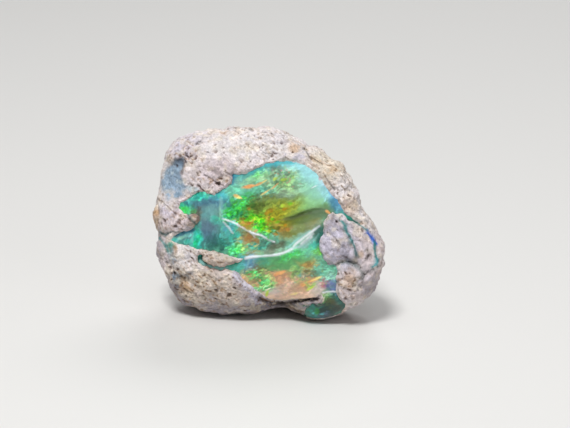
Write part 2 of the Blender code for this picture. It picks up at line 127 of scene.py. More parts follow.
# Sharp ridges where two shell-shaped fractures meet: u and v of each point, the height there, and how far
# the slope runs on the left of the line and on its right.
RIDGES = [
    [
        (-6.3, 0.7, 0, 1.2, 0.8), (-5.6, 0.35, 0.35, 1.6, 0.9), (-4, -0.2, 0.75, 1.9, 0.8),
        (-2.4, -1.1, 0.85, 1.9, 0.8), (-0.5, -1.8, 0.75, 1.6, 0.6), (0.7, -2.4, 0.4, 1.2, 0.5),
        (1.6, -2.8, 0, 1, 0.5),
    ],
    [
        (-4, -4.55, 0, 0.8, 1), (-3, -4.45, 0.45, 0.8, 1.5), (-1.5, -4.3, 0.8, 0.8, 2),
        (0.5, -4.1, 0.9, 0.8, 2.2), (2.2, -3.8, 0.95, 0.8, 2.2), (3.4, -3.2, 1, 0.9, 2),
        (5, -1.9, 1, 1, 1.4), (5.9, -0.9, 0.8, 1, 1.2), (6.8, 0, 0.4, 0.9, 1), (7.3, 0.7, 0, 0.8, 1),
    ],
    [
        (-11, 3, 0, 1.6, 0.8), (-9, 3.05, 0.3, 1.6, 0.8), (-6, 3, 0.4, 1.8, 0.9), (-4, 3.2, 0.35, 1.8, 1),
        (-2, 3.7, 0.3, 1.8, 1), (0, 4.5, 0.22, 1.6, 1), (2, 5.7, 0, 1.5, 1),
    ],
    [
        (-6.2, 4, 0, 1.5, 0.6), (-6.15, 2.6, 0.35, 1.7, 0.7), (-6.1, 1.4, 0.5, 1.8, 0.8),
        (-5.95, 0.4, 0.45, 1.8, 0.8), (-5.3, -0.4, 0.4, 0.8, 1.6), (-4.6, -1.3, 0.35, 0.7, 1.5),
        (-4.3, -2.6, 0, 0.6, 1.4),
    ],
    [(-2.5, -0.95, 0, 0.5, 0.5), (-1.9, -1.6, 0.22, 0.5, 0.6), (-1.1, -2.6, 0, 0.5, 0.5)],
]

# The upper lip of the crescent scoop: u and v of each point, how deep the face drops on the right of the
# line, how far the drop takes, and how far the climb back out takes.
SCOOP = [
    (0.6, 0.2, 0, 0.6, 1.6), (1.5, 0.55, 0.6, 0.8, 1.7), (3, 1, 1.5, 1, 1.8), (4.5, 1.6, 1.9, 1.1, 1.8),
    (6, 2, 1.6, 1, 1.6), (7.2, 1.95, 0.6, 0.6, 1.2), (7.9, 1.6, 0, 0.5, 1),
]

# Lumps of rock: centre u and v, half-widths, turn in degrees, height.
LUMPS = [
    (9.2, -2.2, 2.6, 3.2, 0, 0.75), (11, -8.3, 2.8, 2.4, 25, 0.85), (13.6, -3.6, 1.6, 3, 0, 0.35),
    (13, -6.6, 1.3, 1.7, 0, 0.3), (-7, -8, 4.8, 2.3, -12, 0.85), (-11.2, -4.6, 2.3, 1.6, -20, 0.45),
    (-6.3, -4.7, 2.8, 0.9, -14, 0.5), (-12.9, 0.7, 2.6, 1.9, -15, 0.65), (-6.6, 7.8, 3.6, 3.4, 0, 0.5),
    (-12.6, 6, 1.5, 3, 0, -0.7), (2, 10.6, 5, 1.6, -8, 0.25), (9.2, 6.2, 1.6, 3.2, 35, 0.35),
    (2, -11.2, 2.6, 1.3, 5, -1.1),
]

# Creases between the rock's lobes: width, depth, then the points of the line.
CREASES = [
    (0.55, 0.55, [(8.4, -5.3), (10, -4.9), (11.6, -5.5), (12.5, -6.6), (12, -8)]),
    (0.4, 0.3, [(9.5, 0.8), (10.3, -0.9), (11.2, -2.6), (11.7, -4.4)]),
    (0.45, 0.45, [(-15.2, -1.2), (-13.7, -1.4), (-12.7, -1.1)]),
    (0.4, 0.35, [(-15, 3.2), (-13.8, 3), (-12.7, 1.9), (-11.9, 1.4)]),
    (0.45, 0.4, [(4.9, 9.9), (5.6, 8.6), (6.8, 7.3), (7.9, 5.4), (8.9, 3.9)]),
    (0.5, 0.35, [(-9.3, -3.4), (-9.2, -4.6), (-7.9, -5.5), (-6.2, -6), (-4.9, -5.8)]),
]

# Pits and dents in the rock's face, in the same form as LUMPS, with depth inwards.
PITS = [
    (4.7, 9.8, 0.8, 0.7, 0, 0.7), (6.3, 8, 0.9, 0.6, -30, 0.5), (-9.1, 10.6, 1, 0.5, 40, 0.5),
    (-10.3, 8.8, 0.9, 0.7, 0, 0.4), (-1.9, 12, 1, 0.7, 0, 0.6), (-2.2, 9.6, 1.3, 0.6, -20, 0.3),
    (10.2, 4.3, 0.7, 0.6, 0, 0.4), (12.9, -4.3, 0.7, 1, 0, 0.5), (-13.3, -5, 0.8, 0.9, 0, 0.5),
    (-8.2, -7.6, 0.9, 0.8, 0, 0.45), (-3.7, -9.4, 0.9, 0.7, 0, 0.4), (-11, -7, 0.8, 0.6, 20, 0.4),
]

# The deep cleft under the opal, without its right end.
CLEFT = [(-1.3, -9.6), (-0.7, -10), (0.3, -10.4), (1.6, -10.4), (3, -10.2), (4.6, -10)]

# What the solid part leaves out: creases and small lumps that only the looks show, in the same forms.
FINE_CREASES = [
    (0.26, 1.1, [*CLEFT, (6.4, -9.8)]),
    (0.22, 0.3, [(-11.1, 8.6), (-10.7, 7.9), (-10.9, 7.1), (-11.3, 6.5)]),
    (0.22, 0.25, [(-8.9, 6.4), (-7.6, 5.9), (-6.6, 5.2), (-5.6, 4.9)]),
    (0.2, 0.22, [(-9, 7.4), (-7.6, 6.9), (-6.2, 6.2), (-5.2, 5.8)]),
    (0.2, 0.2, [(7.6, -1.2), (8.8, -2), (9.6, -3), (10.4, -4)]),
    (0.22, 0.22, [(8.8, 0.2), (9.4, -0.9), (10.3, -2)]),
    (0.2, 0.18, [(7.2, -2.8), (8.2, -3.6), (9.2, -4.4)]),
    (0.4, 0.22, [(9.3, -4.95), (10, -4.9), (10.8, -5), (11.8, -5.6)]),
    (0.25, 0.25, [(9.2, -7.2), (10.4, -7.6), (11.4, -8.6), (11.6, -9.8)]),
    (0.3, 0.3, [(-11.8, -7.2), (-10, -7.7), (-8.6, -8.9), (-6.6, -9.6)]),
    (0.22, 0.25, [(-13.8, -2.4), (-12.9, -3.6), (-12.9, -5.2), (-12.2, -6.4)]),
]
FINE_LUMPS = [
    (1.2, -10.9, 2, 0.5, 0, -0.7), (4.9, -10.4, 1.3, 0.3, 6, 0.35),
]

# The shallow hollow at the upper left that is lined with blue potch, and how deep it is carved.
POTCH_HOLLOW = [
    (-12.3, 8.4), (-11.3, 8.5), (-10.85, 7.9), (-11, 7.2), (-11.4, 6.5), (-11.1, 5.5), (-10.8, 4.2),
    (-11.3, 3.5), (-12, 3.2), (-13, 3.1), (-14, 4.2), (-14.1, 5.8), (-13.5, 7.2), (-12.7, 7.9),
]
POTCH_DEPTH = 0.4
POTCH_RIM = (-0.25, 0.3)  # how far inside its outline it begins and is full
POTCH_TOP = (3.2, 6.5)  # the heights between which it deepens upwards

# Broad lumps and flats of the unbroken back, in the same form as LUMPS, with height outwards.
BACK_LUMPS = [
    (-5.5, 4, 4.5, 4, 20, 0.9), (6.5, 1, 4.5, 5, -15, 0.7), (0, -8, 7, 3, 0, 0.9),
    (1, 7.5, 3.5, 2.5, 0, -0.7), (-10, -4.5, 3, 2.5, 0, 0.5),
]


# ---- Patterns ----

# Each pattern has a size in millimetres, and a seed that only tells it from the others. A layer of noise is
# written as a share, a size and a seed.

HASH_PRIMES = (73856093, 19349663, 83492791, 2654435761)
HASH_ROUNDS = ((13, 1274126177), (16, 2246822519), (15, 1))
HASH_TOP = 0xFFFFFFFF
CELLS_AWAY = 100.0  # keeps every cell's numbers positive
FARTHEST = 9.0  # farther than the nearest seed ever is, in grain sizes
RESHUFFLE = 7.13  # turns a seed's place into three numbers that don't show where it is
TINY = 1e-9


def scrambled(cells, seed):
    """A number from 0 to 1 for each whole-numbered cell, the same each time."""
    hashed = 0
    for key, prime in zip((*cells.astype(np.int64).T, seed), HASH_PRIMES):
        hashed = hashed ^ (key * prime)
    for shift, factor in HASH_ROUNDS:
        hashed = ((hashed ^ (hashed >> shift)) * factor) & HASH_TOP
    return hashed / HASH_TOP


def soft_noise(points, size, seed):
    """Smooth noise from -1 to 1, with lumps about this many millimetres across."""
    place = points / size + CELLS_AWAY
    cell = np.floor(place)
    t = place - cell
    t = t * t * (3 - 2 * t)
    total = np.zeros(len(points))
    for corner in itertools.product((0, 1), repeat=3):
        weight = np.prod(np.where(corner, t, 1 - t), axis=1)
        total += weight * scrambled(cell + corner, seed)
    return 2 * total - 1


def layered_noise(points, size, seed, layers=3):
    """Smooth noise with finer and fainter noise on it, from -1 to 1."""
    total = sum(soft_noise(points, size / 2**k, seed + k) / 2**k for k in range(layers))
    return total / (2 - 2 ** (1 - layers))


def summed_noise(points, *layers):
    """Smooth noise added up from layers, each a share, a size and a seed."""
    return sum(share * soft_noise(points, size, seed) for share, size, seed in layers)


def grains(points, size, seed):
    """The nearest of some scattered seeds to each point: how far it is and how much nearer than the next, in
    grain sizes, and three numbers from 0 to 1 of its own."""
    place = points / size + CELLS_AWAY
    home = np.floor(place)
    near = np.full(len(points), FARTHEST)
    following = near.copy()
    own = np.zeros((len(points), 3))
    for step in itertools.product((-1, 0, 1), repeat=3):
        cell = home + step
        spot = np.stack([scrambled(cell, seed + k) for k in range(3)], axis=1)
        far = np.linalg.norm(place - cell - spot, axis=1)
        closer = far < near
        following = np.where(closer, near, np.minimum(following, far))
        near = np.where(closer, far, near)
        own[closer] = spot[closer]
    return near, following - near, (own * RESHUFFLE) % 1.0


def step_up(low, high, value):
    """0 at low and 1 at high, with a smooth rise between them, and level beyond them."""
    t = np.clip((value - low) / (high - low), 0.0, 1.0)
    return t * t * (3 - 2 * t)


def between(pair, share):
    """A value that goes from the pair's first number to its second as the share goes from 0 to 1."""
    return pair[0] + (pair[1] - pair[0]) * share


def mixed(first, second, share):
    """Rows of colours, the second laid over the first by this share at each point."""
    return first + (second - first) * share[:, None]


def linear(red, green, blue):
    """A colour given in the usual 0 to 255, as linear light."""
    shares = np.array([red, green, blue]) / 255
    return np.where(shares > 0.04045, ((shares + 0.055) / 1.055) ** 2.4, shares / 12.92)


# ---- The stone's shape ----


def face_matrix():
    """Carries a point of the face frame, in millimetres, to the leaning stone, still in millimetres."""
    across = Vector((1.0, 0.0, 0.0))
    up = Vector((0.0, math.sin(LEAN), math.cos(LEAN)))
    out = Vector((0.0, -math.cos(LEAN), math.sin(LEAN)))
    u_axis = across * math.cos(TURN) + up * math.sin(TURN)
    v_axis = up * math.cos(TURN) - across * math.sin(TURN)
    return Matrix((u_axis, v_axis, out)).transposed()


def leaned(points):
    """Rows of points carried by the face matrix."""
    return points @ np.array(face_matrix()).T


def radius_towards(angle):
    """The outline's distance from the face frame's origin, smooth and closed, at these angles."""
    points = np.array(OUTLINE)
    at = np.arctan2(points[:, 1], points[:, 0])
    order = np.argsort(at)
    at, far = at[order], np.hypot(points[:, 0], points[:, 1])[order]
    at = np.concatenate([at[-2:] - math.tau, at, at[:2] + math.tau])
    far = np.concatenate([far[-2:], far, far[:2]])
    slope = np.zeros_like(far)
    slope[1:-1] = (far[2:] - far[:-2]) / (at[2:] - at[:-2])
    i = np.clip(np.searchsorted(at, angle) - 1, 1, len(at) - 3)
    span = at[i + 1] - at[i]
    t = (angle - at[i]) / span
    return (
        far[i] * (1 + 2 * t) * (1 - t) ** 2
        + slope[i] * span * t * (1 - t) ** 2
        + far[i + 1] * t**2 * (3 - 2 * t)
        + slope[i + 1] * span * t**2 * (t - 1)
    )


def even_profile(power, flatness, samples=600):
    """Steps of equal length along a superellipse, from its pole to its rim: shares and radii."""
    angle = np.linspace(0.0, math.pi / 2, samples)
    radius = np.sin(angle) ** (2 / power)
    height = np.cos(angle) ** (2 / power) * flatness
    length = np.concatenate([[0.0], np.cumsum(np.hypot(np.diff(radius), np.diff(height)))])
    return length / length[-1], radius


def turned(u, v, centre, degrees):
    """The points in axes through centre, turned by degrees."""
    c, s = math.cos(math.radians(degrees)), math.sin(math.radians(degrees))
    du, dv = u - centre[0], v - centre[1]
    return du * c + dv * s, dv * c - du * s


def distance_to_line(u, v, line):
    """The distance of each point from a line of straight runs."""
    best = np.full(u.shape, np.inf)
    for (au, av), (bu, bv) in itertools.pairwise(line):
        run_u, run_v = bu - au, bv - av
        t = np.clip(((u - au) * run_u + (v - av) * run_v) / (run_u**2 + run_v**2), 0.0, 1.0)
        best = np.minimum(best, np.hypot(u - au - t * run_u, v - av - t * run_v))
    return best


def depth_inside(u, v, outline):
    """How far each point is inside a closed outline, and negative outside it, where the number of sides to
    a point's right is even."""
    closed = outline + outline[:1]
    inside = np.zeros(u.shape, bool)
    for (au, av), (bu, bv) in itertools.pairwise(closed):
        if av != bv:
            crosses = (av > v) != (bv > v)
            inside ^= crosses & (u < au + (v - av) * (bu - au) / (bv - av))
    far = distance_to_line(u, v, closed)
    return np.where(inside, far, -far)


def lump_height(u, v, lumps):
    """Soft domes and hollows added together."""
    height = np.zeros(u.shape)
    for cu, cv, half_u, half_v, turn, top in lumps:
        along, across = turned(u, v, (cu, cv), turn)
        height += top * np.exp(-((along / half_u) ** 2) - (across / half_v) ** 2)
    return height


def crease_depth(u, v, creases):
    """The depth of all the creases together."""
    total = 0.0
    for width, depth, line in creases:
        total += depth * np.exp(-((distance_to_line(u, v, line) / width) ** 2))
    return total


def rock_face(u, v):
    """Depth of the rock's side of the broken face: a plane with lumps, creases and pits."""
    face = ROCK_FACE + FACE_RISE * v + lump_height(u, v, LUMPS)
    return face - crease_depth(u, v, CREASES) - lump_height(u, v, PITS)


def carved_rock_face(u, v):
    """The rock's side with its finer creases, its small lumps and the hollow with the blue potch."""
    face = rock_face(u, v) + lump_height(u, v, FINE_LUMPS) - crease_depth(u, v, FINE_CREASES)
    hollow = step_up(*POTCH_RIM, depth_inside(u, v, POTCH_HOLLOW)) * step_up(*POTCH_TOP, v)
    return face - POTCH_DEPTH * hollow


def smooth_line(rows, steps=8):
    """A curve through the rows, cut into this many straight runs between each two of them."""
    rows = np.array(rows)
    p = np.concatenate([2 * rows[:1] - rows[1:2], rows, 2 * rows[-1:] - rows[-2:-1]])
    t = (np.arange(steps) / steps)[:, None]
    runs = [
        b + (c - a) * t / 2 + (2 * a - 5 * b + 4 * c - d) * t**2 / 2 + (3 * b - a - 3 * c + d) * t**3 / 2
        for a, b, c, d in zip(p[:-3], p[1:-2], p[2:-1], p[3:])
    ]
    return np.concatenate([*runs, p[-2:-1]])


NEARBY_BLUR = 0.02  # square millimetres over which a line's numbers blend into each other


def beside_line(u, v, rows):
    """For each point: its distance from the smooth line through the rows, how far it is on the left of it,
    from 0 to 1, and the line's three other numbers as they are nearby."""
    far = np.full(u.shape, np.inf)
    left = np.zeros(u.shape)
    total = np.zeros(u.shape)
    nearby = np.zeros((3, *u.shape))
    for start, end in itertools.pairwise(smooth_line(rows)):
        run_u, run_v = end[:2] - start[:2]
        length = math.hypot(run_u, run_v)
        from_u, from_v = u - start[0], v - start[1]
        t = np.clip((from_u * run_u + from_v * run_v) / length**2, 0.0, 1.0)
        here = np.hypot(from_u - t * run_u, from_v - t * run_v)
        side = (run_u * from_v - run_v * from_u) / (length * np.maximum(here, TINY))
        left = np.where(here < far, side, left)
        far = np.minimum(far, here)
        middle = (start + end) / 2
        weight = length / ((u - middle[0]) ** 2 + (v - middle[1]) ** 2 + NEARBY_BLUR) ** 2
        total += weight
        nearby += weight * middle[2:, None]
    return far, np.clip(0.5 + 0.5 * left, 0.0, 1.0), nearby / total


def opal_face(u, v):
    """Depth of the opal's broken face: a plane with soft dishes, sharp ridges and one deep scoop."""
    face = OPAL_FACE + FACE_RISE * v - lump_height(u, v, DISHES)
    for ridge in RIDGES:
        far, left, (height, left_run, right_run) = beside_line(u, v, ridge)
        face += np.maximum(height, 0.0) * np.exp(-far / (right_run + (left_run - right_run) * left))
    far, left, (depth, drop_run, climb_run) = beside_line(u, v, SCOOP)
    scoop = (1 - np.exp(-far / drop_run)) * np.exp(-far / climb_run)
    return face - (1 - left) * np.maximum(depth, 0.0) * scoop


def back_face(u, v):
    """Depth of the unbroken back."""
    return BACK - lump_height(u, v, BACK_LUMPS)


def edge_depth(angle):
    """Depth of the edge between face and back, which lies further back at the top."""
    up = np.sin(angle)
    return EDGE_SIDE - EDGE_TOP_DROP * np.maximum(up, 0) ** 2 - EDGE_BOTTOM_DROP * np.maximum(-up, 0) ** 2


def front_power(angle):
    """The broken face stays nearly flat out to the edge on the right, and rounds off sooner elsewhere."""
    return FRONT_POWER + (RIGHT_POWER - FRONT_POWER) * np.clip(np.cos(angle), 0, 1) ** 2


def back_power(angle):
    """The back is fuller towards the bottom, where it makes the heel that the stone stands on."""
    return BACK_POWER + (HEEL_POWER - BACK_POWER) * np.clip(-np.sin(angle), 0, 1) ** 2


def stone_points(sphere, face):
    """The points of a unit sphere, w along its poles, moved to the stone's surface in the face frame."""
    angle = np.arctan2(sphere[:, 1], sphere[:, 0])
    from_pole = np.arccos(np.clip(sphere[:, 2], -1.0, 1.0)) / (math.pi / 2)
    front = from_pole <= 1.0
    share, radius = even_profile(FRONT_POWER, (ROCK_FACE - EDGE_SIDE) / OUTLINE[0][1])
    reach = np.interp(np.where(front, from_pole, 2.0 - from_pole), share, radius)
    far = reach * radius_towards(angle)
    u, v = far * np.cos(angle), far * np.sin(angle)
    power = np.where(front, front_power(angle), back_power(angle))
    fullness = np.clip(1 - reach**power, 0, 1) ** (1 / power)
    middle = np.where(front, face(u, v), back_face(u, v))
    w = edge_depth(angle) * (1 - fullness) + middle * fullness
    return np.stack([u, v, w], axis=1)


def rock_grain(place):
    """How far the rock stands out at a point: a swell, and chunks that drop away where two meet."""
    swell = noise.fractal(place / SWELL_SIZE + SEED_OFFSET, SWELL_FALLOFF, SWELL_STEP, SWELL_LAYERS)
    nearest, next_nearest = noise.voronoi(place / CHUNK_SIZE + SEED_OFFSET)[0][:2]
    return SWELL * swell + CHUNK * min(next_nearest - nearest, CHUNK_LIMIT)


def sampled(function, points, size=1.0, offset=0.0):
    """A function's value at each point, with its pattern made this many millimetres large."""
    return np.array([function(Vector(point)) for point in (points / size + offset).tolist()])


def mesh_normals(points, faces):
    """The unit normal at each point of a triangle mesh."""
    a, b, c = (points[faces[:, k]] for k in range(3))
    across = np.cross(b - a, c - a)
    normals = np.zeros_like(points)
    for k in range(3):
        np.add.at(normals, faces[:, k], across)
    return normals / np.maximum(np.linalg.norm(normals, axis=1), TINY)[:, None]


def sphere_arrays(subdivisions, finer=None):
    """A unit icosphere's points and triangles, with the faces whose middles finer picks cut in four."""
    ball = bmesh.new()
    bmesh.ops.create_icosphere(ball, subdivisions=subdivisions, radius=1.0)
    if finer is not None:
        middles = np.array([face.calc_center_median() for face in ball.faces])
        picked = finer(middles / np.linalg.norm(middles, axis=1)[:, None])
        edges = {edge for face, pick in zip(ball.faces, picked) if pick for edge in face.edges}
        bmesh.ops.subdivide_edges(ball, edges=list(edges), cuts=1, use_grid_fill=True)
        bmesh.ops.triangulate(ball, faces=ball.faces)
    points = np.array([vert.co for vert in ball.verts])
    ball.verts.index_update()
    faces = np.array([[vert.index for vert in face.verts] for face in ball.faces])
    ball.free()
    return points / np.linalg.norm(points, axis=1)[:, None], faces


def coarse_stone():
    """The origin and the mean grain of the solid stone that the part is built from, in millimetres."""
    sphere, faces = sphere_arrays(COARSE_SUBDIVISIONS)
    points = stone_points(sphere, rock_face)
    grain = sampled(rock_grain, points)
    points += mesh_normals(points, faces) * (grain - grain.mean())[:, None]
    placed = leaned(points)
    middle = (placed.min(axis=0) + placed.max(axis=0)) / 2
    return np.array([*middle[:2], FLOOR_Z]), grain.mean()


STONE_ORIGIN, GRAIN_MEAN = coarse_stone()


# ---- The opal's colours ----

# A pale blue-green for the opal's milky rim, partly painted sheen.
HAZE_AND_SHEEN = linear(156, 215, 221)
SKY = linear(105, 165, 210)
DEEP_BLUE = linear(60, 120, 150)
SEA = linear(110, 190, 160)
GREEN = linear(80, 225, 115)
LEAF = linear(140, 190, 100)
LIME = linear(120, 215, 25)
OLIVE = linear(140, 160, 60)
SAGE = linear(158, 196, 150)
CHARTREUSE = linear(195, 230, 60)
DARK_MOSS = linear(72, 92, 30)
DEEP_TEAL = linear(18, 60, 54)
MOSS = linear(100, 115, 45)
GOLD = linear(162, 154, 22)
AMBER = linear(186, 128, 24)
SALMON = linear(215, 155, 115)
SAND = linear(198, 158, 124)
MINT = linear(148, 208, 180)
AQUA = linear(60, 195, 172)
TEAL = linear(60, 165, 145)
SLATE = linear(85, 120, 140)
STEEL = linear(108, 160, 162)
UMBER = linear(95, 80, 60)
VIOLET = linear(98, 112, 160)
ROSE = linear(215, 130, 145)
PEARL = linear(205, 190, 185)
# A white for the opal's pale rim and a flake, and for painted highlights along its ridges and ribs.
FROST_AND_HIGHLIGHT = linear(236, 241, 247)
PINE = linear(40, 95, 85)
APRICOT = linear(238, 174, 108)
LEMON = linear(245, 225, 140)
JADE = linear(45, 222, 150)
PALE_AQUA = linear(150, 210, 205)
LAGOON = linear(80, 182, 192)
FIERY_GREEN = linear(72, 212, 20)
FERN = linear(95, 170, 100)
RUST = linear(186, 132, 55)
EMERALD = linear(52, 178, 70)
BRONZE = linear(135, 128, 68)
GREY_GREEN = linear(98, 124, 98)
DOVE = linear(136, 158, 145)
PEACH = linear(228, 190, 165)
